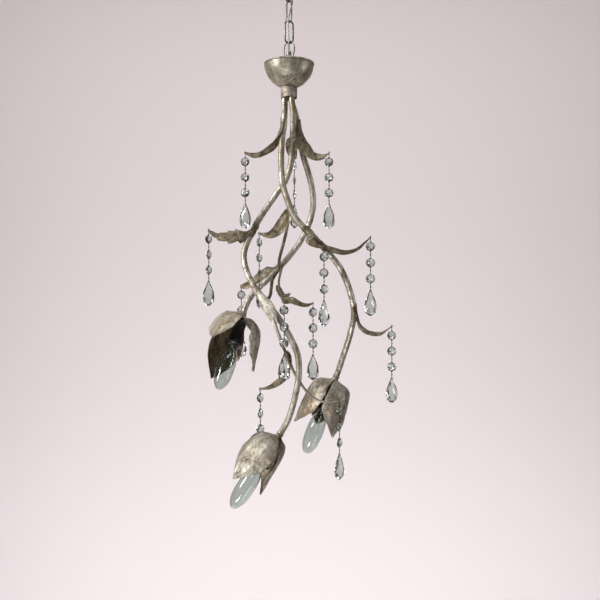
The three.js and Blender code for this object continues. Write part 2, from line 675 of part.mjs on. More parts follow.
const lamp = new THREE.Group();
lamp.add(ceilingFitting(), ...chainLinks(), supplyCable(), lampBody());

export default lamp;
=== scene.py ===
"""Visible surfaces of a three-light leaf-and-crystal pendant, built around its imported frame.

Every length in the classes below is in millimetres unless a name says otherwise. The origin is the
middle of the ceiling plate's top face, +Z is up, and the lamp hangs below it.
"""

import json
import logging
import math
from dataclasses import dataclass, field
from enum import Enum

import bpy
import numpy as np
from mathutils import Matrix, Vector
from numpy.typing import NDArray


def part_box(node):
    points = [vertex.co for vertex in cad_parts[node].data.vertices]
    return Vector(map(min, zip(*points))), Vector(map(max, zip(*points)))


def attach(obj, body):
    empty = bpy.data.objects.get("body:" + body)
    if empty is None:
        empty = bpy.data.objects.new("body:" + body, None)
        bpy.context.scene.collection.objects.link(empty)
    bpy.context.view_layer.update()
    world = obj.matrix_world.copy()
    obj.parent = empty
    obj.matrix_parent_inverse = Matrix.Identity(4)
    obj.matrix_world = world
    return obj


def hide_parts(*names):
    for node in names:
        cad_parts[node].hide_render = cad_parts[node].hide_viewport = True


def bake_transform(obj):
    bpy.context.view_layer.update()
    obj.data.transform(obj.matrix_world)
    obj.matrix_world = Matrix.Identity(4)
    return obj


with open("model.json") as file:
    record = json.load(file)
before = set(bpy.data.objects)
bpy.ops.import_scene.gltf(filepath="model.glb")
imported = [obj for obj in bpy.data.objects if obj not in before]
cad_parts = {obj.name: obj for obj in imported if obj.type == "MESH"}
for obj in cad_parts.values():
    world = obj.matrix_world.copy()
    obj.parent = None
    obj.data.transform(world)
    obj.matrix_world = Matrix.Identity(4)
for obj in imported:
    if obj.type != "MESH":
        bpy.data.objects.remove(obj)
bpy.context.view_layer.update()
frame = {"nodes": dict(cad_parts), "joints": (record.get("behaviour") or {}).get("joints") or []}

Array = NDArray[np.float64]
Indices = NDArray[np.int64]
Material = bpy.types.Material
MM = 0.001
UP = np.array([0.0, 0.0, 1.0])
BACK = np.array([0.0, 1.0, 0.0])
ACROSS = np.array([1.0, 0.0, 0.2])  # a direction that the rods never run along
CLINGING = 7.08  # from a tube's centre line to the middle of a sheet that lies against it
GLASS_SIDES = 96  # points round a bulb's glass

logging.basicConfig(level=logging.INFO, format="%(message)s")
log = logging.getLogger("pendant")


# ---------------------------------------------------------------------------------------------
# Curves and surfaces
# ---------------------------------------------------------------------------------------------


class Knots(Enum):
    """How a spline spaces its knots: evenly, or by the square root of the distance apart."""

    UNIFORM = 0.0
    CENTRIPETAL = 0.5


def unit(vectors: Array) -> Array:
    """Vectors of length one.

    Args:
        vectors: any array whose last axis holds the components.

    Returns:
        The array divided by its own lengths.
    """
    return vectors / np.maximum(np.linalg.norm(vectors, axis=-1, keepdims=True), 1e-12)


def smoothstep(value: Array, low: float, high: float) -> Array:
    """An easing from 0 at low to 1 at high: 3t^2 - 2t^3.

    Args:
        value: where to read it.
        low: the end that gives 0.
        high: the end that gives 1.

    Returns:
        The eased share.
    """
    t = np.clip((value - low) / (high - low), 0.0, 1.0)
    return t * t * (3.0 - 2.0 * t)


def spline(points: Array, count: int, knots: Knots = Knots.CENTRIPETAL) -> Array:
    """A Catmull-Rom curve through points, read at evenly spaced lengths.

    Each span is the cubic Hermite curve whose end slopes are the usual three-point differences,
    weighted by the knot spacing. A fine sampling is then interpolated by its own running length.

    Args:
        points: (n, 2 or 3) points that it passes through.
        count: how many samples to return.
        knots: the knot spacing.

    Returns:
        (count, 2 or 3) samples.
    """
    p = np.asarray(points, float)
    lead, tail = (2 * p[0] - p[1], 2 * p[-1] - p[-2])
    if knots is Knots.UNIFORM:
        lead, tail = p[0], p[-1]
    q = np.vstack([lead, p, tail])
    apart = np.linalg.norm(np.diff(q, axis=0), axis=1) ** knots.value
    d = np.where(apart < 1e-6, 1.0, apart)[:, None]
    d0, d1, d2 = d[:-2], d[1:-1], d[2:]
    x0, x1, x2, x3 = q[:-3], q[1:-2], q[2:-1], q[3:]
    out = ((x1 - x0) / d0 - (x2 - x0) / (d0 + d1) + (x2 - x1) / d1) * d1
    into = ((x2 - x1) / d1 - (x3 - x1) / (d1 + d2) + (x3 - x2) / d2) * d1
    t = np.linspace(0.0, 1.0, 40, endpoint=False)[None, :, None]
    a, b = x1[:, None], x2[:, None]
    s, e = out[:, None], into[:, None]
    dense = a + t * s + t**2 * (3 * (b - a) - 2 * s - e) + t**3 * (2 * (a - b) + s + e)
    dense = np.vstack([dense.reshape(-1, p.shape[1]), p[-1]])
    run = np.concatenate([[0.0], np.cumsum(np.linalg.norm(np.diff(dense, axis=0), axis=1))])
    want = np.linspace(0.0, run[-1], count)
    return np.stack([np.interp(want, run, dense[:, k]) for k in range(p.shape[1])], axis=1)


def lumps(points: Array, size: float, seed: int) -> Array:
    """Soft hammered unevenness: the mean of nine sine waves that run in seeded directions.

    Args:
        points: (..., 3) places, in metres.
        size: the lumps' width, in millimetres.
        seed: picks the directions.

    Returns:
        A value from -1 to 1 at each place.
    """
    rng = np.random.default_rng(seed)
    ways = unit(rng.normal(size=(9, 3))) * rng.uniform(0.6, 1.5, (9, 1))
    phases = rng.uniform(0, 2 * np.pi, 9)
    return np.sin(points @ ways.T * (np.pi / (size * MM)) + phases).mean(axis=-1) * 1.6


@dataclass
class Shell:
    """A closed surface: its points, its four-sided faces and its three-sided faces."""

    points: Array
    quads: Indices = field(default_factory=lambda: np.zeros((0, 4), np.int64))
    tris: Indices = field(default_factory=lambda: np.zeros((0, 3), np.int64))

    def placed(self, turn: Array, origin: Array) -> "Shell":
        """The shell turned by a 3x3 matrix whose columns are its new axes, then moved."""
        return Shell(self.points @ np.asarray(turn).T + origin, self.quads, self.tris)

    def outward(self) -> "Shell":
        """The shell with its faces turned outward, by the sign of the volume they enclose."""
        p = self.points - self.points.mean(axis=0)
        both = (self.quads[:, :3], self.quads[:, [0, 2, 3]], self.tris)
        t = np.vstack([part for part in both if len(part)])
        volume = np.einsum("ij,ij->i", p[t[:, 0]], np.cross(p[t[:, 1]], p[t[:, 2]])).sum()
        if volume < 0:
            return Shell(self.points, self.quads[:, ::-1], self.tris[:, ::-1])
        return self


def together(shells: list[Shell]) -> Shell:
    """Several shells as one, with the later ones' face numbers moved up.

    Args:
        shells: the shells.

    Returns:
        One shell.
    """
    starts = np.cumsum([0] + [len(s.points) for s in shells])
    return Shell(
        np.vstack([s.points for s in shells]),
        np.vstack([s.quads + n for s, n in zip(shells, starts)]),
        np.vstack([s.tris + n for s, n in zip(shells, starts)]),
    )


def grid_quads(rows: int, cols: int, wrap_rows: bool = False, wrap_cols: bool = False) -> Indices:
    """Faces of a grid of points stored row by row.

    Args:
        rows: how many rows.
        cols: how many points in each row.
        wrap_rows: joins the last row to the first.
        wrap_cols: joins each row's last point to its first.

    Returns:
        (n, 4) point numbers.
    """
    i = np.arange(rows if wrap_rows else rows - 1)[:, None]
    j = np.arange(cols if wrap_cols else cols - 1)[None, :]
    i, j = np.broadcast_arrays(i, j)
    down, right = (i + 1) % rows, (j + 1) % cols
    corners = [i * cols + j, i * cols + right, down * cols + right, down * cols + j]
    return np.stack(corners, axis=-1).reshape(-1, 4)


def frames_along(path: Array, aside: Array, closed: bool = False) -> tuple[Array, Array]:
    """Two directions across a path, from one that the path never runs along.

    Args:
        path: (n, 3) points.
        aside: the direction, or one for each point.
        closed: the path's end meets its start.

    Returns:
        The cross directions: the tangent crossed with aside, and that crossed with the tangent.
    """
    if closed:
        tangent = unit(np.roll(path, -1, axis=0) - np.roll(path, 1, axis=0))
    else:
        tangent = unit(np.gradient(path, axis=0))
    side = unit(np.cross(tangent, np.broadcast_to(aside, path.shape)))
    return side, np.cross(side, tangent)


def swept(
    path: Array, radius: float | Array, sides: int, aside: Array = BACK, closed: bool = False
) -> Shell:
    """A round bar along a path: each ring is the centre plus radius times (cos, sin) of the frame.

    Args:
        path: (n, 3) centre line in metres.
        radius: its radius in millimetres, or one for each point.
        sides: points in each ring.
        aside: a direction that the path never runs along.
        closed: the path's end meets its start; otherwise each end has a domed cap.

    Returns:
        The bar.
    """
    side, level = frames_along(path, aside, closed)
    angle = np.linspace(0, 2 * np.pi, sides, endpoint=False)
    reach = np.broadcast_to(np.asarray(radius, float) * MM, len(path))[:, None, None]
    ring = np.cos(angle)[None, :, None] * side[:, None] + np.sin(angle)[None, :, None] * level[:, None]
    rings = path[:, None] + reach * ring
    count = len(path)
    if closed:
        return Shell(rings.reshape(-1, 3), grid_quads(count, sides, True, True)).outward()
    dome = 0.25 * reach[[0, -1], 0, 0][:, None]
    ends = path[[0, -1]] + dome * unit(path[[0, -1]] - path[[1, -2]])
    points = np.vstack([rings.reshape(-1, 3), ends])
    around = np.arange(sides)
    step = (around + 1) % sides
    last = (count - 1) * sides
    start_cap = np.stack([step, around, np.full(sides, count * sides)], axis=1)
    end_cap = np.stack([around + last, step + last, np.full(sides, count * sides + 1)], axis=1)
    quads = grid_quads(count, sides, wrap_cols=True)
    return Shell(points, quads, np.vstack([start_cap, end_cap])).outward()


def turned(profile: Array, segments: int, dents: float = 0.0, seed: int = 0) -> Shell:
    """A turned surface about Z: each profile point [radius, height] goes round a circle.

    A profile that starts and ends on the axis has a single point at each pole; any other profile
    closes on itself.

    Args:
        profile: (n, 2) radius and height in millimetres.
        segments: points in each circle.
        dents: how deep the hammered dents are, in millimetres.
        seed: picks the dents.

    Returns:
        The turned shell in metres.
    """
    profile = np.asarray(profile, float)
    poles = profile[0, 0] < 1e-9 and profile[-1, 0] < 1e-9
    body = profile[1:-1] if poles else profile
    angle = np.linspace(0, 2 * np.pi, segments, endpoint=False)
    ring = np.stack([np.cos(angle), np.sin(angle)], axis=1)
    flat = body[:, None, :1] * ring[None]
    high = np.broadcast_to(body[:, None, 1:], (len(body), segments, 1))
    points = np.concatenate([flat, high], axis=2) * MM
    if dents:
        points[..., :2] += dents * MM * ring * lumps(points, 9.0, seed)[..., None]
    rows = len(body)
    if not poles:
        return Shell(points.reshape(-1, 3), grid_quads(rows, segments, True, True)).outward()
    ends = np.array([[0, 0, profile[0, 1]], [0, 0, profile[-1, 1]]]) * MM
    around = np.arange(segments)
    step = (around + 1) % segments
    last = (rows - 1) * segments
    low = np.stack([step, around, np.full(segments, rows * segments)], axis=1)
    top = np.stack([around + last, step + last, np.full(segments, rows * segments + 1)], axis=1)
    quads = grid_quads(rows, segments, wrap_cols=True)
    return Shell(np.vstack([points.reshape(-1, 3), ends]), quads, np.vstack([low, top])).outward()


def thick_sheet(middle: Array, gauge: float | Array) -> Shell:
    """A sheet of some thickness about a grid of middle points.

    The normal is the cross product of the grid's two slopes; half the gauge goes to each side, and
    one strip of faces closes the rim.

    Args:
        middle: (rows, cols, 3) middle surface in metres.
        gauge: the thickness in millimetres, or one for each point.

    Returns:
        The closed sheet.
    """
    rows, cols = middle.shape[:2]
    normal = unit(np.cross(np.gradient(middle, axis=0), np.gradient(middle, axis=1)))
    half = 0.5 * MM * np.broadcast_to(np.asarray(gauge, float), (rows, cols))[..., None]
    points = np.vstack([(middle + half * normal).reshape(-1, 3), (middle - half * normal).reshape(-1, 3)])
    number = np.arange(rows * cols).reshape(rows, cols)
    rim = np.concatenate([number[0, :-1], number[:-1, -1], number[-1, :0:-1], number[:0:-1, 0]])
    after = np.roll(rim, -1)
    under = rows * cols
    front = grid_quads(rows, cols)
    edge = np.stack([rim, after, after + under, rim + under], axis=1)
    return Shell(points, np.vstack([front, front[:, ::-1] + under, edge[:, ::-1]])).outward()


def basis(axis: Array) -> Array:
    """Columns right, front and axis of a flower's own frame, with right level where it can be.

    Args:
        axis: the flower's direction.

    Returns:
        A 3x3 matrix.
    """
    axis = unit(axis)
    right = unit(np.cross(axis, BACK))
    return np.stack([right, np.cross(axis, right), axis], axis=1)


def about_z(degrees: float) -> Array:
    """The 3x3 matrix of a turn about Z.

    Args:
        degrees: the turn.

    Returns:
        The matrix.
    """
    c, s = math.cos(math.radians(degrees)), math.sin(math.radians(degrees))
    return np.array([[c, -s, 0], [s, c, 0], [0, 0, 1.0]])


def polar(radius: float, degrees: float, height_m: float) -> Array:
    """A point at a radius in millimetres, a direction in degrees and a height in metres."""
    turn = math.radians(degrees)
    return np.array([radius * MM * math.cos(turn), radius * MM * math.sin(turn), height_m])


# ---------------------------------------------------------------------------------------------
# Finishes
# ---------------------------------------------------------------------------------------------


def linear(code: str) -> tuple[float, float, float, float]:
    """An sRGB hex colour as linear values.

    Args:
        code: six hex digits.

    Returns:
        Red, green, blue and 1.
    """
    srgb = np.array([int(code[k : k + 2], 16) / 255 for k in (0, 2, 4)])
    flat = np.where(srgb <= 0.04045, srgb / 12.92, ((srgb + 0.055) / 1.055) ** 2.4)
    return (*flat.tolist(), 1.0)


def add_node(
    tree: bpy.types.NodeTree, kind: str, settings: dict | None = None, **inputs: object
) -> bpy.types.Node:
    """Adds a node, with its settings, its inputs' values and its links.

    Args:
        tree: the node tree.
        kind: the node's type.
        settings: attributes of the node itself.
        **inputs: value or output socket for an input, by its name with _ for a space, or by number
            as in i0.

    Returns:
        The node.
    """
    node = tree.nodes.new(kind)
    for name, value in (settings or {}).items():
        setattr(node, name, value)
    for name, value in inputs.items():
        numbered = name[0] == "i" and name[1:].isdigit()
        socket = node.inputs[int(name[1:]) if numbered else name.replace("_", " ")]
        if isinstance(value, bpy.types.NodeSocket):
            tree.links.new(value, socket)
        else:
            socket.default_value = value
    return node


def blank_material(name: str) -> tuple[Material, bpy.types.NodeTree, bpy.types.Node]:
    """A new material with only its Principled shader.

    Args:
        name: what the material is.

    Returns:
        The material, its tree and its shader.
    """
    material = bpy.data.materials.new(name)
    material.use_nodes = True
    return material, material.node_tree, material.node_tree.nodes["Principled BSDF"]


def ramp(
    tree: bpy.types.NodeTree, value: bpy.types.NodeSocket, stops: list[tuple[float, str]]
) -> bpy.types.Node:
    """A colour ramp node through hex colours.

    Args:
        tree: the node tree.
        value: what it reads.
        stops: position and colour of each stop.

    Returns:
        The node.
    """
    node = add_node(tree, "ShaderNodeValToRGB", Fac=value)
    elements = node.color_ramp.elements
    while len(elements) < len(stops):
        elements.new(0.5)
    for element, (position, code) in zip(elements, stops):
        element.position = position
        element.color = linear(code)
    return node


@dataclass(frozen=True)
class SilverLeaf:
    """Imitation silver leaf laid over brown size on steel, rubbed back and waxed.

    The leaf gives a soft metal gleam. Where it is rubbed through, the brown size shows, in patches
    that run down the piece as the rag did. Pinholes and the overlaps of the leaf squares give dark
    specks and hair lines, drawn a little coarser than real so that they show.
    """

    name: str = "silver leaf"
    bright: str = "E4DFD0"
    leaf: str = "A2967F"
    tarnish: str = "77614A"
    ground: str = "40342A"
    wear: float = 0.4
    patch_mm: float = 15.0
    speck_mm: float = 4.0
    square_mm: float = 42.0
    drawn_out: float = 0.38
    gloss: float = 0.42
    metal: float = 0.82
    blur: float = 0.09

    def build(self) -> Material:
        """Builds the material: patches and specks drive its colour, metal, roughness and relief.

        Returns:
            The material.
        """
        material, tree, shader = blank_material(self.name)
        maths, mixer = "ShaderNodeMath", {"data_type": "RGBA"}
        place = add_node(tree, "ShaderNodeTexCoord").outputs["Object"]
        long = add_node(
            tree, "ShaderNodeVectorMath", {"operation": "MULTIPLY"}, i0=place, i1=(1, 1, self.drawn_out)
        ).outputs[0]
        kinds = (
            (long, self.patch_mm, 5.0, 0.8), (place, self.speck_mm, 4.0, 0.2),
            (place, 0.45 * self.speck_mm, 2.0, 0.0), (long, 2.2 * self.patch_mm, 3.0, 0.4),
        )
        patch, speck, fine, tone = (
            add_node(
                tree, "ShaderNodeTexNoise",
                Vector=where, Scale=1000 / size, Detail=detail, Roughness=0.6, Distortion=bent,
            ).outputs["Fac"]
            for where, size, detail, bent in kinds
        )
        seams = add_node(
            tree, "ShaderNodeTexVoronoi", {"feature": "DISTANCE_TO_EDGE"},
            Vector=place, Scale=1000 / self.square_mm,
        ).outputs["Distance"]
        middle = 0.59 - 0.14 * self.wear
        share = add_node(tree, maths, {"operation": "MULTIPLY"}, i0=patch, i1=0.6).outputs[0]
        wander = add_node(tree, maths, {"operation": "MULTIPLY_ADD"}, i0=speck, i1=0.4, i2=share).outputs[0]
        rub = add_node(
            tree, "ShaderNodeMapRange",
            Value=wander, From_Min=middle - self.blur, From_Max=middle + self.blur,
        ).outputs[0]
        pits = add_node(
            tree, "ShaderNodeMapRange", Value=fine, From_Min=0.66 - 0.08 * self.wear, From_Max=0.78
        ).outputs[0]
        hair = add_node(
            tree, "ShaderNodeMapRange", Value=seams, From_Max=0.012, To_Min=0.6, To_Max=0.0
        ).outputs[0]
        marks = add_node(tree, maths, {"operation": "MAXIMUM"}, i0=pits, i1=hair).outputs[0]
        faint = add_node(tree, maths, {"operation": "MULTIPLY"}, i0=marks, i1=0.6).outputs[0]
        bare = add_node(tree, maths, {"operation": "MAXIMUM"}, i0=rub, i1=marks).outputs[0]
        sheen = ramp(tree, tone, [(0.34, self.leaf), (0.62, self.bright)]).outputs[0]
        worn = ramp(tree, fine, [(0.34, self.ground), (0.66, self.tarnish)]).outputs[0]
        rubbed = add_node(tree, "ShaderNodeMix", mixer, i0=rub, i6=sheen, i7=worn).outputs[2]
        colour = add_node(
            tree, "ShaderNodeMix", mixer, i0=faint, i6=rubbed, i7=linear(self.ground)
        ).outputs[2]
        metal = add_node(
            tree, "ShaderNodeMapRange", Value=bare, To_Min=self.metal, To_Max=0.35
        ).outputs[0]
        rough = add_node(
            tree, "ShaderNodeMapRange", Value=bare, To_Min=self.gloss, To_Max=self.gloss + 0.2
        ).outputs[0]
        sunk = add_node(tree, maths, {"operation": "MULTIPLY_ADD"}, i0=bare, i1=-0.4, i2=speck).outputs[0]
        relief = add_node(tree, maths, {"operation": "MULTIPLY_ADD"}, i0=fine, i1=0.4, i2=sunk).outputs[0]
        bump = add_node(tree, "ShaderNodeBump", Strength=0.5, Distance=0.6 * MM, Height=relief).outputs[0]
        tree.links.new(colour, shader.inputs["Base Color"])
        tree.links.new(metal, shader.inputs["Metallic"])
        tree.links.new(rough, shader.inputs["Roughness"])
        tree.links.new(bump, shader.inputs["Normal"])
        return material


@dataclass(frozen=True)
class PlatedSteel:
    """Drawn steel wire or turned steel, plated and toned dark, with dull handling marks."""

    name: str = "toned plated steel"
    bright: str = "8E8C84"
    dark: str = "4B4840"
    rough: float = 0.34
    grain_mm: float = 1.6

    def build(self) -> Material:
        """Builds the material: fine noise sets its tone, roughness and drawn grain.

        Returns:
            The material.
        """
        material, tree, shader = blank_material(self.name)
        place = add_node(tree, "ShaderNodeTexCoord").outputs["Object"]
        tone = add_node(
            tree, "ShaderNodeTexNoise",
            Vector=place, Scale=1000 / (6 * self.grain_mm), Detail=6.0, Roughness=0.65,
        )
        grain = add_node(tree, "ShaderNodeTexNoise", Vector=place, Scale=1000 / self.grain_mm, Detail=3.0)
        colour = ramp(tree, tone.outputs["Fac"], [(0.38, self.dark), (0.6, self.bright)])
        rough = add_node(
            tree, "ShaderNodeMapRange",
            Value=grain.outputs["Fac"], To_Min=self.rough - 0.1, To_Max=self.rough + 0.14,
        )
        bump = add_node(
            tree, "ShaderNodeBump", Strength=0.15, Distance=0.12 * MM, Height=grain.outputs["Fac"]
        )
        shader.inputs["Metallic"].default_value = 1.0
        tree.links.new(colour.outputs[0], shader.inputs["Base Color"])
        tree.links.new(rough.outputs[0], shader.inputs["Roughness"])
        tree.links.new(bump.outputs[0], shader.inputs["Normal"])
        return material


@dataclass(frozen=True)
class ClearGlass:
    """Clear glass or cut crystal: smooth, with a trace of smear on the surface, and a grey tint that is
    painted shade, darkening what shows through it.
    """

    name: str
    # The tint's grey is painted shade; any faint green in it is the glass's own.
    tint: str
    ior: float
    smear: float = 0.02
    smear_mm: float = 12.0

    def build(self) -> Material:
        """Builds the material: full transmission, and roughness that varies with a faint smear.

        Returns:
            The material.
        """
        material, tree, shader = blank_material(self.name)
        place = add_node(tree, "ShaderNodeTexCoord").outputs["Object"]
        smear = add_node(tree, "ShaderNodeTexNoise", Vector=place, Scale=1000 / self.smear_mm, Detail=4.0)
        rough = add_node(
            tree, "ShaderNodeMapRange",
            Value=smear.outputs["Fac"], From_Min=0.45, From_Max=0.7, To_Min=0.0, To_Max=self.smear,
        )
        shader.inputs["Base Color"].default_value = linear(self.tint)
        shader.inputs["IOR"].default_value = self.ior
        shader.inputs["Transmission Weight"].default_value = 1.0
        tree.links.new(rough.outputs[0], shader.inputs["Roughness"])
        return material


@dataclass(frozen=True)
class Moulding:
    """A moulded or glazed insulating material: one colour with a fine, slightly uneven skin."""

    name: str
    colour: str
    shade: str
    rough: float
    ior: float = 1.5
    grain_mm: float = 0.9
    transmission: float = 0.0

    def build(self) -> Material:
        """Builds the material: fine noise varies its tone and roughness and gives a faint relief.

        Returns:
            The material.
        """
        material, tree, shader = blank_material(self.name)
        place = add_node(tree, "ShaderNodeTexCoord").outputs["Object"]
        grain = add_node(tree, "ShaderNodeTexNoise", Vector=place, Scale=1000 / self.grain_mm, Detail=3.0)
        tone = add_node(
            tree, "ShaderNodeTexNoise", Vector=place, Scale=1000 / (12 * self.grain_mm), Detail=3.0
        )
        colour = ramp(tree, tone.outputs["Fac"], [(0.35, self.shade), (0.65, self.colour)])
        rough = add_node(
            tree, "ShaderNodeMapRange",
            Value=tone.outputs["Fac"], To_Min=self.rough - 0.08, To_Max=self.rough + 0.1,
        )
        bump = add_node(
            tree, "ShaderNodeBump", Strength=0.12, Distance=0.08 * MM, Height=grain.outputs["Fac"]
        )
        shader.inputs["IOR"].default_value = self.ior
        shader.inputs["Transmission Weight"].default_value = self.transmission
        tree.links.new(colour.outputs[0], shader.inputs["Base Color"])
        tree.links.new(rough.outputs[0], shader.inputs["Roughness"])
        tree.links.new(bump.outputs[0], shader.inputs["Normal"])
        return material


@dataclass
class Palette:
    """The pendant's finishes, each built once."""

    silver: Material = field(default_factory=lambda: SilverLeaf().build())
    cup: Material = field(
        default_factory=lambda: SilverLeaf(
            name="silver leaf on spun cup", bright="E0DBCC", leaf="9C9079", wear=0.5, patch_mm=24, speck_mm=5,
            tarnish="6C593F", gloss=0.4, blur=0.14,
        ).build()
    )
    aged: Material = field(
        default_factory=lambda: SilverLeaf(
            name="silver leaf rubbed brown", bright="A99E88", leaf="7F745F",
            tarnish="6A563B", ground="33281C", wear=0.72, patch_mm=14, drawn_out=0.8, gloss=0.44, metal=0.7,
        ).build()
    )
    petal: Material = field(
        default_factory=lambda: SilverLeaf(
            name="silver leaf on petals", bright="DEDACE", leaf="A89D88", tarnish="7A5A3C", ground="47341F",
            wear=0.42, patch_mm=28, speck_mm=5, drawn_out=0.7, gloss=0.52, blur=0.12,
        ).build()
    )
    # A copy of the petal finish for each flower's back petal, painted browner and lighter: painted shade,
    # with painted fill light on its inner face.
    shaded_petal: Material = field(
        default_factory=lambda: SilverLeaf(
            name="silver leaf on inner petals", bright="B3A68C", leaf="8B7C62",
            tarnish="7A6342", ground="2E2318", wear=0.75, patch_mm=20, drawn_out=0.6, gloss=0.46, metal=0.45,
        ).build()
    )
    steel: Material = field(default_factory=lambda: PlatedSteel().build())
    dark_pin: Material = field(
        default_factory=lambda: PlatedSteel("darkened pin wire", "6A665E", "2C2A26", 0.3, 0.8).build()
    )
    nickel: Material = field(
        default_factory=lambda: PlatedSteel("nickel-plated brass", "C2BFB6", "8F8B80", 0.24, 2.0).build()
    )
    tungsten: Material = field(
        default_factory=lambda: PlatedSteel("tungsten wire", "7C7974", "55524D", 0.4, 0.5).build()
    )
    phenolic: Material = field(
        default_factory=lambda: Moulding("black phenolic", "1A1714", "0B0A08", 0.34, 1.6).build()
    )
    nylon: Material = field(
        default_factory=lambda: Moulding("white nylon", "E9E6DC", "DAD6CA", 0.5, 1.53).build()
    )
    cable: Material = field(
        default_factory=lambda: Moulding(
            "clear soft vinyl", "D4D2CA", "BDBBB2", 0.22, 1.53, transmission=0.35
        ).build()
    )
    # Painted shade: the crystal is tinted grey so that its facets read darker than clear crystal.
    crystal: Material = field(
        default_factory=lambda: ClearGlass("cut lead crystal", "CDD4D1", 1.62, 0.0).build()
    )
    # The lamp glass's faint green is its own; its grey darkening is painted shade.
    bulb: Material = field(
        default_factory=lambda: ClearGlass("soda lime lamp glass", "D9E0DC", 1.5, 0.06).build()
    )


# ---------------------------------------------------------------------------------------------
# Pieces
# ---------------------------------------------------------------------------------------------


class Shading(Enum):
    """How a piece's faces catch the light: rounded, or each one flat."""

    SMOOTH = True
    FACETED = False


def piece(
    name: str,
    shell: Shell,
    material: Material,
    body: str | None,
    nodes: list[str],
    slot: str,
    shading: Shading = Shading.SMOOTH,
) -> bpy.types.Object:
    """Makes a shell into a piece that stands for CAD nodes and rides on a body.

    Args:
        name: the piece's name.
        shell: its surface in metres.
        material: its finish.
        body: the body it rides on, or None to leave it unattached.
        nodes: the CAD nodes it stands for.
        slot: the record's material slot; not used.
        shading: rounded or faceted.

    Returns:
        The piece's object.
    """
    mesh = bpy.data.meshes.new(name)
    quads, tris = shell.quads, shell.tris
    loops = np.concatenate([quads.ravel(), tris.ravel()]).astype(np.int32)
    sizes = np.concatenate([np.full(len(quads), 4), np.full(len(tris), 3)]).astype(np.int32)
    mesh.vertices.add(len(shell.points))
    mesh.vertices.foreach_set("co", shell.points.astype(np.float32).ravel())
    mesh.loops.add(len(loops))
    mesh.loops.foreach_set("vertex_index", loops)
    mesh.polygons.add(len(sizes))
    mesh.polygons.foreach_set("loop_start", (np.cumsum(sizes) - sizes).astype(np.int32))
    mesh.polygons.foreach_set("loop_total", sizes)
    mesh.update(calc_edges=True)
    mesh.validate()
    mesh.polygons.foreach_set("use_smooth", np.full(len(sizes), shading.value))
    mesh.materials.append(material)
    thing = bpy.data.objects.new(name, mesh)
    bpy.context.scene.collection.objects.link(thing)
    if body is not None:
        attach(thing, body)
    if nodes:
        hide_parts(*nodes)
    log.info("%s: %d faces", name, len(sizes))
    return thing


def top_of(node: str) -> float:
    """The height of a CAD node's highest point, in metres."""
    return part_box(node)[1].z


def foot_of(node: str) -> float:
    """The height of a CAD node's lowest point, in metres."""
    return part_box(node)[0].z


def joint_named(name: str) -> dict:
    """The frame's joint of that name."""
    return next(joint for joint in frame["joints"] if joint["name"] == name)


def thread(low: float, high: float, radius: float, depth: float, pitch: float) -> list[list[float]]:
    """A turned stand-in for a rolled thread: radius less depth times a squared sine of height.

    Args:
        low: the thread's foot.
        high: its top.
        radius: over the crests.
        depth: from crest to root.
        pitch: crest to crest.

    Returns:
        Profile points.
    """
    height = np.linspace(low, high, max(int(8 * abs(high - low) / pitch), 4))
    return np.stack([radius - depth * np.sin(np.pi * (height - low) / pitch) ** 2, height], axis=1).tolist()


@dataclass
class CeilingFitting:
    """The hook, the rose round it and the plate above, all fixed to the ceiling."""

    finishes: Palette
    wire: float = 2.0
    bend: float = 9.0
    hook_turn: float = -60.0
    rose_radius: float = 46.0
    rose_wall: float = 1.2
    neck: float = 8.5

    def build(self) -> None:
        """Builds the hook and rose, and dresses the CAD plate."""
        foot = foot_of("ceiling_hook") + self.wire * MM
        top = top_of("ceiling_hook")
        bend = self.bend
        shank = [[0, 0, (top - foot) / MM], [0, 0, 3.4 * bend], [0.45 * bend, 0, 2.3 * bend], [bend, 0, bend]]
        low_side = 0.3 * bend
        curl = [
            [0.7 * bend, 0, low_side], [0, 0, 0], [-0.7 * bend, 0, low_side], [-bend, 0, bend], [-bend, 0, 16]
        ]
        path = spline(np.array(shank + curl) * MM, 120)
        hook = swept(path, self.wire, 16).placed(about_z(self.hook_turn), np.array([0, 0, foot]))
        piece("hook", hook, self.finishes.steel, "ceiling", ["ceiling_hook"], "steel")

        high, low = top_of("ceiling_rose") / MM, foot_of("ceiling_rose") / MM
        depth = high - low
        bow = np.array([0, 22, 44, 62])
        fall = np.sin(np.radians(bow)) / math.sin(math.radians(75))
        run = np.cos(np.radians(bow))
        outer, inner = (
            np.stack([(self.rose_radius - wall) * run, high - (depth - wall) * fall], axis=1)
            for wall in (0.0, self.rose_wall)
        )
        lip = np.array([[self.neck + 5, low], [self.neck, low]])
        lining = np.array([[self.neck, low + self.rose_wall], [self.neck + 4.5, low + self.rose_wall]])
        outside = spline(np.vstack([outer, lip[:1]]), 40)
        inside = spline(np.vstack([lining[1:], inner[::-1]]), 40)
        profile = np.vstack([outside, lip[1:], lining[:1], inside])
        rose = turned(profile, 96, 0.15, 4)
        piece("rose", rose, self.finishes.cup, "ceiling", ["ceiling_rose"], "silver_leaf")
        dress(["ceiling_plate"], self.finishes.steel)


def dress(nodes: list[str], material: Material) -> None:
    """Gives carried-over CAD nodes a finish.

    Args:
        nodes: the nodes.
        material: their finish.
    """
    for name in nodes:
        mesh = frame["nodes"][name].data
        mesh.materials.clear()
        mesh.materials.append(material)
        log.info("%s: dressed", name)


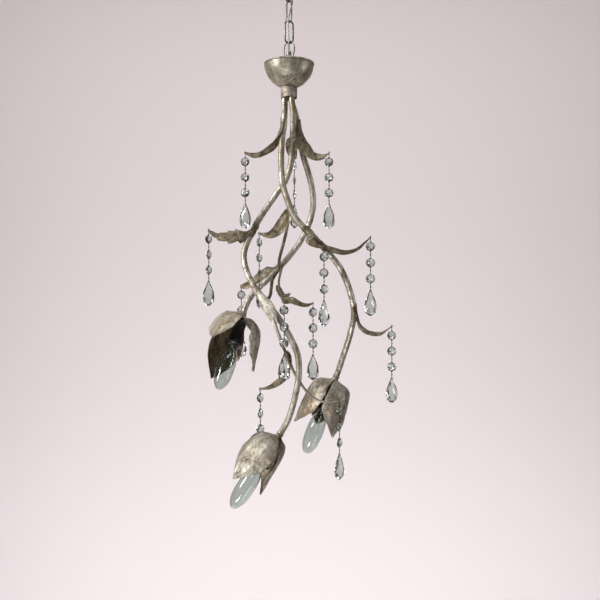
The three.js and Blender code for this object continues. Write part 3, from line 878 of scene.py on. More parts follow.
@dataclass
class Chain:
    """Three oval links, and the cable that weaves down through them."""

    finishes: Palette
    wire: float = 1.75
    length: float = 48.5
    width: float = 20.5
    weave: float = 6.5
    centre: float = 3.0
    cable_radius: float = 1.8
    tail: float = 34.0
    fold: float = 9.0
    turns: tuple[float, float, float] = (30.0, -55.0, 20.0)
    links: tuple[str, str, str] = ("top", "middle", "bottom")

    def middle(self, n: int) -> float:
        """The height of a link's middle, in metres."""
        node = f"chain_link_{self.links[n]}"
        return 0.5 * (top_of(node) + foot_of(node))

    def link(self, n: int) -> Shell:
        """A link: a wire round an oval, a circle whose halves are drawn apart, thinner at its weld.

        Args:
            n: which link, from the top.

        Returns:
            Its surface.
        """
        angle = np.linspace(0, 2 * np.pi, 96, endpoint=False)
        bend = self.width / 2 - self.wire
        stretch = self.length / 2 - self.wire - bend
        rise = bend * np.sin(angle)
        away = stretch * np.clip(rise / (0.12 * bend), -1, 1)
        path = np.stack([bend * np.cos(angle), 0 * angle, rise + away], axis=1) * MM
        waist = self.wire * (1 - 0.05 * np.exp(-((np.abs(angle - np.pi) / 0.05) ** 2)))
        origin = np.array([0, 0, self.middle(n)])
        return swept(path, waist, 16, BACK, True).placed(about_z(self.turns[n]), origin)

    def cable_route(self, last_wire: float, nipple_top: float) -> Array:
        """The cable's centre line, beside the links and through the middle of each.

        Args:
            last_wire: the height of the lowest link's foot wire, in metres.
            nipple_top: the height where the cable enters the nipple, in metres.

        Returns:
            Points in metres.
        """
        first, second, third = self.turns
        mid = [self.middle(n) for n in range(3)]
        wide = self.weave
        seat = foot_of("ceiling_hook") + 4 * MM
        points = [
            polar(wide - 1, first + 45, -7 * MM),
            polar(wide - 1, first + 45, -42 * MM),
            polar(wide, first + 45, seat),
            polar(self.centre, first, mid[0]),
            polar(wide, (first + second) / 2, (mid[0] + mid[1]) / 2),
            polar(self.centre, second, mid[1]),
            polar(wide, (second + third) / 2 - 90, (mid[1] + mid[2]) / 2),
            polar(wide, -100, mid[2]),
            polar(wide, -95, last_wire),
            polar(0.5 * wide, -95, (last_wire + nipple_top) / 2 - MM),
            np.array([0, 0, nipple_top - 2 * MM]),
            np.array([0, 0, nipple_top - 0.5 * self.tail * MM]),
            np.array([0, 0, nipple_top - self.tail * MM]),
        ]
        return spline(np.array(points), 400)

    def build(self) -> None:
        """Builds the links and the cable, which is split where the chain can fold."""
        for n, label in enumerate(self.links):
            body = f"link_{label}"
            piece(body, self.link(n), self.finishes.steel, body, [f"chain_link_{label}"], "steel")
        last_wire = foot_of("chain_link_bottom") + self.wire * MM
        path = self.cable_route(last_wire, top_of("entry_nipple"))
        hung = ("link_top", "link_middle", "link_bottom", "lamp")
        joints = [joint_named(f"{name}_swing") for name in hung]
        pivots = [joint["pos_m"][2] for joint in joints]
        cuts = [0.0] + [0.5 * (a + b) for a, b in zip(pivots, pivots[1:])] + [-math.inf]
        for n, joint in enumerate(joints):
            inside = np.flatnonzero((path[:, 2] <= cuts[n]) & (path[:, 2] >= cuts[n + 1]))
            span = path[max(inside[0] - 1, 0) : inside[-1] + 1]
            shell = swept(span, self.cable_radius, 14)
            length = piece(
                f"cable_{n + 1}", shell, self.finishes.cable, None, ["supply_flex"], "clear_cable"
            )
            above, below = ((0, 0, pivots[n] + side * self.fold * MM) for side in (1, -1))
            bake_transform(length)
            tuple(above)
            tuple(below)


@dataclass
class Canopy:
    """The loop, the cup, the collar under it and the fittings inside."""

    finishes: Palette
    cup_radius: float = 50.0
    cup_wall: float = 1.5
    rim_bead: float = 1.9
    foot_radius: float = 14.0
    bore: float = 5.4
    nipple_radius: float = 5.0
    loop_wire: float = 1.6
    loop_width: float = 27.5
    loop_turn: float = -30.0
    nut_radius: float = 9.0
    nut_height: float = 10.0
    ring: float = 8.5
    tube: float = 6.0

    def loop(self) -> Shell:
        """The pear-shaped bow on its round nut, with a knurled waist round the nut.

        Returns:
            Its surface.
        """
        low, top = foot_of("hanging_loop") / MM, top_of("hanging_loop") / MM
        wire = top - self.loop_wire
        tall = top - low
        nut_top = low + self.nut_height
        half = self.loop_width / 2 - self.loop_wire
        side = [
            [self.nut_radius - self.loop_wire, 0, low + 0.5 * self.nut_height],
            [0.86 * half, 0, nut_top + 0.18 * tall],
            [half, 0, wire - 0.36 * tall],
            [0.78 * half, 0, wire - 0.12 * tall],
            [0.42 * half, 0, wire - 0.028 * tall],
        ]
        left = [[-x, y, z] for x, y, z in side]
        bow = swept(spline(np.array(left + [[0, 0, wire]] + side[::-1]) * MM, 140), self.loop_wire, 14)
        r = self.nut_radius
        nut = turned(
            [
                [self.bore, low], [r - 0.8, low], [r, low + 0.8], [r, low + 3], [r - 0.7, low + 3.6],
                [r - 0.7, nut_top - 3.6], [r, nut_top - 3], [r, nut_top - 0.8], [r - 0.8, nut_top],
                [self.bore, nut_top],
            ],
            64,
        )
        return together([bow, nut]).placed(about_z(self.loop_turn), np.zeros(3))

    def cup(self) -> Shell:
        """The spun bowl, a part of a sphere with a rolled rim, lightly dented.

        Returns:
            Its surface.
        """
        rim, low = top_of("canopy_cup") / MM, foot_of("canopy_cup") / MM
        outer, inner = self.cup_radius, self.cup_radius - self.cup_wall
        floor = low + 2.0
        steep = np.radians(np.linspace(3.5, math.degrees(math.acos(self.foot_radius / outer)), 46))
        lining = np.radians(np.linspace(math.degrees(math.asin((rim - floor) / inner)), 5, 40))
        bead = np.radians(np.linspace(140, -120, 22))
        roll = self.rim_bead
        rolled = np.stack([outer - 1.3 + roll * np.cos(bead), rim - roll + roll * np.sin(bead)], axis=1)
        outside = np.stack([(outer - 0.5) * np.cos(steep), rim - outer * np.sin(steep)], axis=1)
        inside = np.stack([inner * np.cos(lining), rim - inner * np.sin(lining)], axis=1)
        inside = inside[inside[:, 1] < rim - 2.5]
        lip = rolled[rolled[:, 0] >= outer - 2.4]
        outside = outside[outside[:, 1] < rim - 3.6]
        profile = np.vstack([lip, outside, [[self.bore, low], [self.bore, floor]], inside])
        return turned(profile, 144, 0.28, 11)

    def collar(self) -> Shell:
        """The sleeve round the three tubes: a wrapped strip with an uneven lower edge.

        Returns:
            Its surface.
        """
        top, low = top_of("arm_collar") / MM, foot_of("arm_collar") / MM
        inner = self.ring + self.tube + 0.7
        outer = inner + 1.0
        down = np.linspace(top - 0.7, low + 0.5, 26)
        skin = np.stack([np.full(26, outer), down], axis=1)
        lining = np.stack([np.full(20, inner), np.linspace(low, top - 3.0, 20)], axis=1)
        lid = [[self.bore, top], [outer - 0.7, top]]
        profile = np.vstack([lid, skin, [[outer - 0.3, low]], lining, [[self.bore, top - 3.0]]])
        shell = turned(profile, 120, 0.22, 21)
        angle = np.arctan2(shell.points[:, 1], shell.points[:, 0])
        depth = np.clip((top * MM - shell.points[:, 2]) / ((top - low) * MM), 0, 1)
        shell.points[:, 2] += 1.6 * MM * depth**3 * (1 + np.sin(angle + 2.4))
        skin_side = np.hypot(*shell.points[:, :2].T) > (outer - 0.6) * MM
        lap = smoothstep(np.abs(angle + 1.25), 0.04, 0.0) * skin_side
        shell.points[:, :2] *= (1 + 0.025 * lap)[:, None]
        return shell

    def nipple(self) -> Shell:
        """The hollow threaded tube that carries the lamp.

        Returns:
            Its surface.
        """
        low, top = foot_of("entry_nipple") / MM, top_of("entry_nipple") / MM
        outside = thread(low + 0.4, top - 0.4, self.nipple_radius, 0.35, 1.0)
        return turned(outside + [[4.5, top], [3.4, top], [3.3, low], [4.5, low]], 40)

    def build(self) -> None:
        """Builds the canopy's pieces and dresses the fittings inside."""
        f = self.finishes
        piece("hanging_bow", self.loop(), f.steel, "lamp", ["hanging_loop"], "steel")
        piece("cup", self.cup(), f.cup, "lamp", ["canopy_cup"], "silver_leaf")
        piece("collar", self.collar(), f.petal, "lamp", ["arm_collar"], "silver_leaf")
        piece("nipple", self.nipple(), f.nickel, "lamp", ["entry_nipple"], "steel")
        dress(["cup_locknut"], f.nickel)
        dress(["terminal_block"], f.nylon)


# ---------------------------------------------------------------------------------------------
# Arms
# ---------------------------------------------------------------------------------------------


@dataclass
class Arm:
    """One bent tube: its place round the collar, its bends, its end and its flower's heading."""

    label: str
    degrees: float
    bends: list[list[float]]
    end: list[float]
    heading: list[float]
    ring: float = 8.5
    straight: float = 22.0
    lead: float = 15.0
    line: Array = field(init=False)

    def __post_init__(self) -> None:
        """Works out the centre line, straight through the collar and into the flower."""
        top = top_of(f"arm_{self.label}")
        head = polar(self.ring, self.degrees, top)
        below = polar(self.ring, self.degrees, top - self.straight * MM)
        last = down_from(top, [self.end])[0]
        before = last - unit(np.array(self.heading)) * self.lead * MM
        self.line = spline(np.vstack([head, below, down_from(top, self.bends), before, last]), 700)

    @property
    def axis(self) -> Array:
        """The direction in which the tube leaves its end."""
        return unit(self.line[-1] - self.line[-2])

    def beside(self, top: float, down: float, degrees: float, distance: float = CLINGING) -> Array:
        """A place level with the tube, at a distance and direction from its centre line."""
        nearest = np.argmin(np.abs(self.line[:, 2] - (top - down * MM)))
        return self.line[nearest] + polar(distance, degrees, 0.0)


def down_from(top: float, places: list[list[float]]) -> Array:
    """Places given in millimetres as across, back and down from the arms' top.

    Args:
        top: the arms' top, in metres.
        places: the places.

    Returns:
        (n, 3) points in metres.
    """
    return np.array(places, float) * [MM, MM, -MM] + [0, 0, top]


@dataclass
class Arms:
    """The three 12 mm tubes."""

    finishes: Palette
    radius: float = 6.0
    bore: float = 4.4
    sides: int = 24
    arms: dict[str, Arm] = field(init=False)

    def __post_init__(self) -> None:
        """Sets out the three centre lines."""
        self.arms = {
            "a": Arm(
                "a", 187,
                [
                    [-10, -5, 70], [-14, -11, 108], [-15, -22, 153], [-12, -34, 194], [-3, -44, 225],
                    [12, -52, 261], [57, -55, 309],
                    [103, -46, 365], [128, -24, 443], [122, -4, 489], [109, 16, 536],
                ],
                [93, 29, 584], [-0.36, 0.05, -0.93],
            ),
            "b": Arm(
                "b", -47,
                [
                    [9, -5, 58], [7, 2, 99], [4, 12, 143], [-6, 20, 176], [-29, 24, 210], [-69, 18, 273],
                    [-90, -4, 335], [-66, -28, 399], [-21, -48, 454], [16, -64, 522], [20, -68, 557],
                    [14, -68, 600], [0, -64, 649],
                ],
                [-20, -60, 684], [-0.54, 0, -0.84],
            ),
            "c": Arm(
                "c", 50,
                [
                    [14, 9, 52], [20, 12, 86], [28, 18, 128], [42, 26, 174], [49, 36, 214], [45, 45, 250],
                    [22, 56, 301], [-29, 60, 363], [-78, 52, 412], [-91, 45, 438],
                ],
                [-97, 36, 460], [-0.24, -0.5, -0.83],
            ),
        }

    def tube(self, arm: Arm, seed: int) -> Shell:
        """A tube's wall: the outside runs down, the inside runs back up, and both close at the ends.

        The radius varies by a fifth of a millimetre where the tube was bent and leafed by hand.

        Args:
            arm: the arm.
            seed: picks the unevenness.

        Returns:
            The tube.
        """
        line = arm.line[::2]
        side, level = frames_along(line, BACK)
        angle = np.linspace(0, 2 * np.pi, self.sides, endpoint=False)
        ring = np.cos(angle)[None, :, None] * side[:, None] + np.sin(angle)[None, :, None] * level[:, None]
        skin = line[:, None] + self.radius * MM * ring
        uneven = 0.2 * MM * lumps(skin, 14, seed) + 0.08 * MM * lumps(skin, 4, seed + 50)
        skin = skin + ring * uneven[..., None]
        wall = line[::-1, None][::8] + self.bore * MM * ring[::-1][::8]
        points = np.concatenate([skin, wall])
        return Shell(points.reshape(-1, 3), grid_quads(len(points), self.sides, True, True)).outward()

    def build(self) -> None:
        """Builds the tubes."""
        for n, (label, arm) in enumerate(self.arms.items()):
            tube, nodes = self.tube(arm, n), [f"arm_{label}"]
            piece(f"tube_{label}", tube, self.finishes.silver, "lamp", nodes, "silver_leaf")


# ---------------------------------------------------------------------------------------------
# Leaves
# ---------------------------------------------------------------------------------------------


@dataclass
class Blade:
    """The shape of one sheet leaf along its spine.

    The half width swells from base and narrows to a pin. Near the root the sheet wraps its host
    tube; further on it opens to its own curl, which is a bend radius in millimetres across it.
    """

    half_width: float
    across: tuple[float, float, float]
    base: float = 8.0
    tip: float = 0.9
    curl: float = 26.0
    wrap_until: float = 0.3
    wrap_radius: float = 7.0
    ruffle: float = 0.8
    teeth: float = 0.0
    tooth_count: int = 0
    fullness: float = 1.0
    gauge: float = 1.1
    rows: int = 96
    seed: int = 1

    def width(self, along: Array) -> Array:
        """Half width: a swelling of along^0.7 (1 - along)^fullness, plus a taper from base to tip."""
        swell = along**0.7 * (1 - along) ** self.fullness
        swell = swell / swell.max()
        taper = self.base * (1 - along) ** 2.2
        plain = (self.half_width - 0.5 * self.base) * swell + taper + self.tip
        return plain * np.sqrt(np.clip(along / 0.05, 0.12, 1))

    def surface(self, spine: Array, host: Array | None) -> Shell:
        """The leaf as a bent strip.

        Across the leaf, a point goes round an arc whose radius eases from the tube's at the root to
        the leaf's own. A sharp line down the middle is the folded rib, waves at the edges are the
        ruffle, and side veins fan from the rib.

        Args:
            spine: points of the spine in metres.
            host: the host tube's centre line, or None for a leaf that starts free.

        Returns:
            The leaf.
        """
        centre = spline(spine, self.rows)
        u = np.linspace(0, 1, self.rows)
        v = np.linspace(-1, 1, 33)
        tangent = unit(np.gradient(centre, axis=0))
        want = np.array(self.across)
        free = unit(want - tangent * (tangent @ want)[:, None])
        lateral, bend = free, np.full(self.rows, 1 / self.curl)
        if host is not None:
            nearest = host[np.linalg.norm(centre[:, None] - host[None], axis=2).argmin(axis=1)]
            out = centre - nearest
            out = unit(out - tangent * np.einsum("ij,ij->i", out, tangent)[:, None])
            gripping = unit(np.cross(tangent, out))
            if (gripping[:12] * free[:12]).sum() < 0:
                free = -free
            ease = smoothstep(u, 0.3 * self.wrap_until, self.wrap_until + 0.12)
            lateral = unit(gripping * (1 - ease)[:, None] + free * ease[:, None])
            bend = (1 - ease) / self.wrap_radius + ease / self.curl
        normal = np.cross(lateral, tangent)
        reach = self.width(u)[:, None] * v[None]
        if self.teeth:
            saw = (u[:, None] * self.tooth_count + 0.35 * np.abs(v[None])) % 1.0
            bite = 1 - self.teeth * (1 - saw) * smoothstep(np.abs(v), 0.45, 1.0)[None]
            reach = reach * bite * 1.06
        phi = reach * bend[:, None]
        sideways = np.sin(phi) / bend[:, None]
        lift = (np.cos(phi) - 1) / bend[:, None]
        grown = smoothstep(u, 0.15, 0.45) * smoothstep(1 - u, 0.0, 0.2)
        edge = np.abs(v) ** 2.5
        wave = np.sin(2 * np.pi * (2.6 * u[:, None] + 0.31 * np.sign(v)[None] + 0.1 * self.seed))
        lift = lift + self.ruffle * wave * edge[None] * grown[:, None]
        rib = -0.55 * np.exp(-((reach / 0.9) ** 2)) * smoothstep(u, 0.1, 0.3)[:, None]
        fan = np.cos(2 * np.pi * (9 * u[:, None] - 1.3 * np.abs(v)[None]))
        veins = 0.14 * fan * grown[:, None] * (np.abs(v) > 0.08)
        lift = lift + rib + veins * smoothstep(self.width(u), 3.0, 9.0)[:, None]
        moved = sideways[..., None] * lateral[:, None] + lift[..., None] * normal[:, None]
        middle = centre[:, None] + MM * moved
        dents = (0.3 * MM * lumps(middle, 8, self.seed))[..., None] * grown[:, None, None]
        middle = middle + normal[:, None] * dents
        return thick_sheet(middle, self.gauge * (1 - 0.45 * edge)[None])


@dataclass
class Foliage:
    """All the leaves, the rods that carry them and the drawn-out tendril."""

    finishes: Palette
    arms: Arms
    rod: float = 3.2
    thin_rod: float = 2.4
    top: float = field(init=False)

    def __post_init__(self) -> None:
        """Reads the height that the leaves' places are measured from."""
        self.top = top_of("arm_a")

    def at(self, *places: list[float]) -> Array:
        """Places across, back and down from the arms' top, in millimetres."""
        return down_from(self.top, list(places))

    def grip(self, arm: str, pairs: list[tuple[float, float]], distance: float = CLINGING) -> Array:
        """Places against an arm, each from how far down it is and the level direction it lies in."""
        host = self.arms.arms[arm]
        return np.array([host.beside(self.top, down, degrees, distance) for down, degrees in pairs])

    def leaf(self, name: str, arm: str | None, spine: Array, blade: Blade) -> None:
        """Makes one leaf that stands for the CAD node of the same name."""
        host = self.arms.arms[arm].line[::3] if arm else None
        sheet = blade.surface(spine, host)
        piece(f"{name}_sheet", sheet, self.finishes.aged, "lamp", [name], "aged_leaf")

    def simple_leaves(self) -> None:
        """Builds the ten leaves that grow straight from an arm, a rod or the tendril."""
        at, grip = self.at, self.grip
        rows = [
            ("top_leaf_left", "a", grip("a", [(58, 180), (80, 178)]),
             at([-30, -4, 108], [-48, 0, 123], [-69, 2, 131], [-90, 2, 126]),
             Blade(13, (0, 0.85, -0.55), curl=18, fullness=0.7, seed=2)),
            ("top_leaf_right", "c", grip("c", [(58, -30), (84, -40)]),
             at([33, 1, 114], [48, -1, 131], [67, 1, 134], [82, 2, 126]),
             Blade(19, (-0.35, -0.6, -0.7), curl=34, ruffle=1.4, seed=3)),
            ("top_leaf_back", "c", grip("c", [(58, 145), (76, 135)]),
             at([5, 44, 103], [7, 64, 118], [9, 80, 123], [10, 95, 117]),
             Blade(15, (1, 0, 0), seed=4)),
            ("serrated_leaf", "b", grip("b", [(262, 215), (280, 215)]),
             at([-101, 1, 291], [-122, -1, 294], [-146, 1, 292], [-163, 4, 280]),
             Blade(19, (0, -0.45, -0.9), curl=30, teeth=0.36, tooth_count=6, ruffle=1.2, rows=160,
                   fullness=1.1, seed=5)),
            ("rear_leaf", "c", np.vstack([grip("c", [(341, 160)], 9), grip("c", [(352, 165)], 12)]),
             at([-50, 64, 361], [-68, 71, 374], [-86, 79, 388], [-104, 87, 393]),
             Blade(15, (0.1, -0.6, -0.8), wrap_until=0.2, fullness=0.5, seed=6)),
            ("branch_leaf_front", None, at([-8, -16, 418], [-7, -38, 410]),
             at([-6, -62, 414], [-7, -80, 422], [-8, -93, 423]),
             Blade(10, (1, 0, 0), base=3, seed=7)),
            ("lower_leaf", None, at([-3, -59, 519], [-2, -46, 541]),
             at([-7, -30, 566], [-22, -14, 585], [-40, -4, 596], [-60, 4, 600]),
             Blade(8.5, (0.35, -0.35, 0.85), base=3, curl=14, seed=8)),
            ("small_bract", "a", grip("a", [(282, 235), (296, 235)]),
             at([40, -65, 306], [54, -67, 317], [69, -68, 321]),
             Blade(10, (-0.6, 0, -0.8), wrap_until=0.45, seed=9)),
            ("right_tendril", "a", grip("a", [(308, 282), (320, 282)]),
             at([86, -62, 327], [110, -60, 331], [132, -60, 324], [147, -60, 311], [159, -60, 299]),
             Blade(6.5, (0, 0.5, -0.85), base=6.5, curl=7, wrap_until=0.2, ruffle=0.4, seed=10)),
            ("right_leaf", "a", grip("a", [(428, -20), (448, -15)]),
             at([143, -25, 472], [157, -22, 484], [180, -20, 487], [205, -20, 472]),
             Blade(11, (0, 0.8, -0.6), curl=18, wrap_until=0.35, seed=11)),
        ]
        for name, arm, root, rest, blade in rows:
            self.leaf(name, arm, np.vstack([root, rest]), blade)

    def inner_stem(self) -> None:
        """Builds the rod that ties the three arms, and the leaf at its top."""
        at, grip = self.at, self.grip
        touch = self.arms.radius + self.rod
        route = spline(
            np.vstack([
                grip("a", [(236, 60)], touch),
                at([0, -29, 256], [-4, -12, 280], [-12, 10, 310], [-20, 32, 337]),
                grip("c", [(357, -85)], touch),
                at([-34, 38, 379], [-36, 18, 396], [-37, -8, 411]),
                grip("b", [(424, 49)], self.arms.radius - 1),
            ]),
            220,
        )
        rod = swept(route, self.rod * (1 + 0.05 * lumps(route, 9, 31)), 16, ACROSS)
        spine = np.vstack([route[6], at([-6, -30, 262], [-21, -15, 281], [-38, 1, 291], [-62, 13, 287])])
        blade = Blade(12, (0.7, 0, -0.7), base=5, curl=22, seed=12, ruffle=1.1).surface(spine, None)
        both, finish = together([rod, blade]), self.finishes.aged
        piece("inner_rod_and_leaf", both, finish, "lamp", ["inner_stem"], "silver_leaf")

    def branch(self) -> None:
        """Builds the thin rod below the stem's crossing, its leaf to the right and its bud."""
        at, grip = self.at, self.grip
        route = spline(
            np.vstack([
                grip("c", [(347, -85)], self.arms.radius + self.thin_rod),
                at([-21, 30, 384], [-17, 8, 405], [-6, -13, 421]),
            ]),
            90,
        )
        rod = swept(route, self.thin_rod, 14, ACROSS)
        spine = at(
            [-14, 0, 411], [-5, -13, 420], [5, -17, 419], [20, -22, 427], [36, -25, 431], [49, -26, 427]
        )
        blade = Blade(9, (0, -0.6, -0.8), base=5.5, curl=9, seed=13, ruffle=0.7).surface(spine, None)
        bud = Blade(7, (0.8, -0.3, 0.5), base=3, curl=9, fullness=0.5, seed=17).surface(
            at([-11, -7, 416], [-15, -8, 411], [-20, -8, 402], [-24, -6, 392]), None
        )
        whole, finish = together([rod, blade, bud]), self.finishes.aged
        piece("branch_and_leaf", whole, finish, "lamp", ["branch_leaf_right"], "silver_leaf")

    def bract(self) -> None:
        """Builds the bract on arm B and the tendril drawn out from its end."""
        at, grip = self.at, self.grip
        drawn = at([-37, -57, 439], [-29, -64, 458], [-23, -67, 480])
        spine = np.vstack([grip("b", [(398, 262), (414, 262)]), drawn])
        host = self.arms.arms["b"].line[::3]
        blade = Blade(14, (-0.85, 0, -0.5), curl=20, wrap_until=0.4, seed=14, ruffle=1.2).surface(spine, host)
        route = spline(
            at([-36, -58, 444], [-27, -66, 466], [-20, -68, 484], [-12, -68, 506], [-2, -62, 530],
               [10, -50, 560], [24, -45, 584], [42, -47, 606], [66, -50, 618], [103, -50, 617]),
            260,
        )
        u = np.linspace(0, 1, len(route))
        girth = 1.3 + 2.3 * smoothstep(u, 0.0, 0.14) * (1 - u) ** 0.6 - 0.8 * smoothstep(u, 0.8, 1.0)
        tendril = swept(route, girth, 16, np.array([-0.3, 1.0, 0.1]))
        both, finish = together([blade, tendril]), self.finishes.petal
        piece("bract_and_tendril", both, finish, "lamp", ["bract_tendril"], "silver_leaf")

    def build(self) -> None:
        """Builds every leaf."""
        self.simple_leaves()
        self.inner_stem()
        self.branch()
        self.bract()


# ---------------------------------------------------------------------------------------------
# Flowers
# ---------------------------------------------------------------------------------------------


@dataclass
class Petal:
    """One cupped petal: its turn round the flower, how far it opens and how long it is."""

    turn: float
    opening: float = 1.0
    stretch: float = 1.0
    belly: float = 46.0
    tip_radius: float = 50.0
    length: float = 105.0
    half_width: float = 46.0
    root: float = 7.2
    root_half: float = 5.8
    tip_half: float = 1.0
    grip: float = 8.0
    gauge: float = 1.1
    rows: int = 110
    columns: int = 61
    seed: int = 0

    def surface(self) -> Shell:
        """The petal in its flower's frame.

        It is a strip of a surface of revolution: the profile gives radius and height, and the
        distance across becomes an angle. A folded rib, fanned veins, dents and a ruffled, nibbled
        edge are added along the surface's normal or to its width.

        Returns:
            The petal.
        """
        long = self.length * self.stretch
        flare = np.array([0.72 * self.belly, 0.94 * self.belly, self.belly, self.tip_radius])
        opened = self.root + (flare - self.root) * self.opening
        radii = [self.root, self.root + 0.4, *opened]
        heights = [-self.grip, 0, 0.1 * long, 0.3 * long, 0.58 * long, long]
        profile = spline(np.stack([radii, heights], axis=1), self.rows, Knots.UNIFORM)
        u = np.linspace(0, 1, self.rows)
        v = np.linspace(-1, 1, self.columns)
        radius, height = profile.T
        slope = unit(np.gradient(profile, axis=0))
        swell = (self.half_width - self.root_half) * np.sin(np.pi * u**1.15)
        wanted = swell + self.root_half * (1 - u) + self.tip_half * u
        room = self.root_half + 1.02 * (radius - self.root)
        half = np.minimum(wanted, room)
        coarse = 0.035 * np.sin(17 * u[:, None] + 2 * np.sign(v) + self.seed)
        nibble = coarse + 0.02 * np.sin(41 * u[:, None] + self.seed)
        free_edge = (smoothstep(u, 0.25, 0.5) * smoothstep(1 - u, 0.0, 0.15))[:, None]
        across = half[:, None] * v[None] * (1 + nibble * free_edge * np.abs(v)[None] ** 4)
        angle = across / radius[:, None]
        grown = (smoothstep(u, 0.12, 0.4) * smoothstep(1 - u, -0.05, 0.18))[:, None]
        wave = np.sin(2 * np.pi * (1.9 * u[:, None] + 0.37 * np.sign(v)[None] + 0.17 * self.seed))
        lift = 2.2 * wave * np.abs(v)[None] ** 3 * grown
        lift = lift + 1.1 * np.exp(-((across / 1.6) ** 2)) * smoothstep(u, 0.08, 0.25)[:, None]
        lift = lift + 0.32 * np.cos(15 * v[None] * (1.15 - 0.5 * u[:, None])) * grown
        lift = lift - 2.6 * (np.abs(v)[None] ** 2) * smoothstep(u, 0.55, 1.0)[:, None] * self.opening
        out = slope[:, 1][:, None], -slope[:, 0][:, None]
        where = np.stack([across * MM, 0 * across + self.seed, height[:, None] * MM + 0 * across], axis=-1)
        lift = lift + (0.75 * lumps(where, 13, self.seed) + 0.3 * lumps(where, 5, self.seed + 9)) * grown
        reach = radius[:, None] + lift * out[0]
        level = height[:, None] + lift * out[1]
        middle = np.stack([reach * np.cos(angle), reach * np.sin(angle), level], axis=-1) * MM
        return thick_sheet(middle, self.gauge).placed(about_z(self.turn), np.zeros(3))


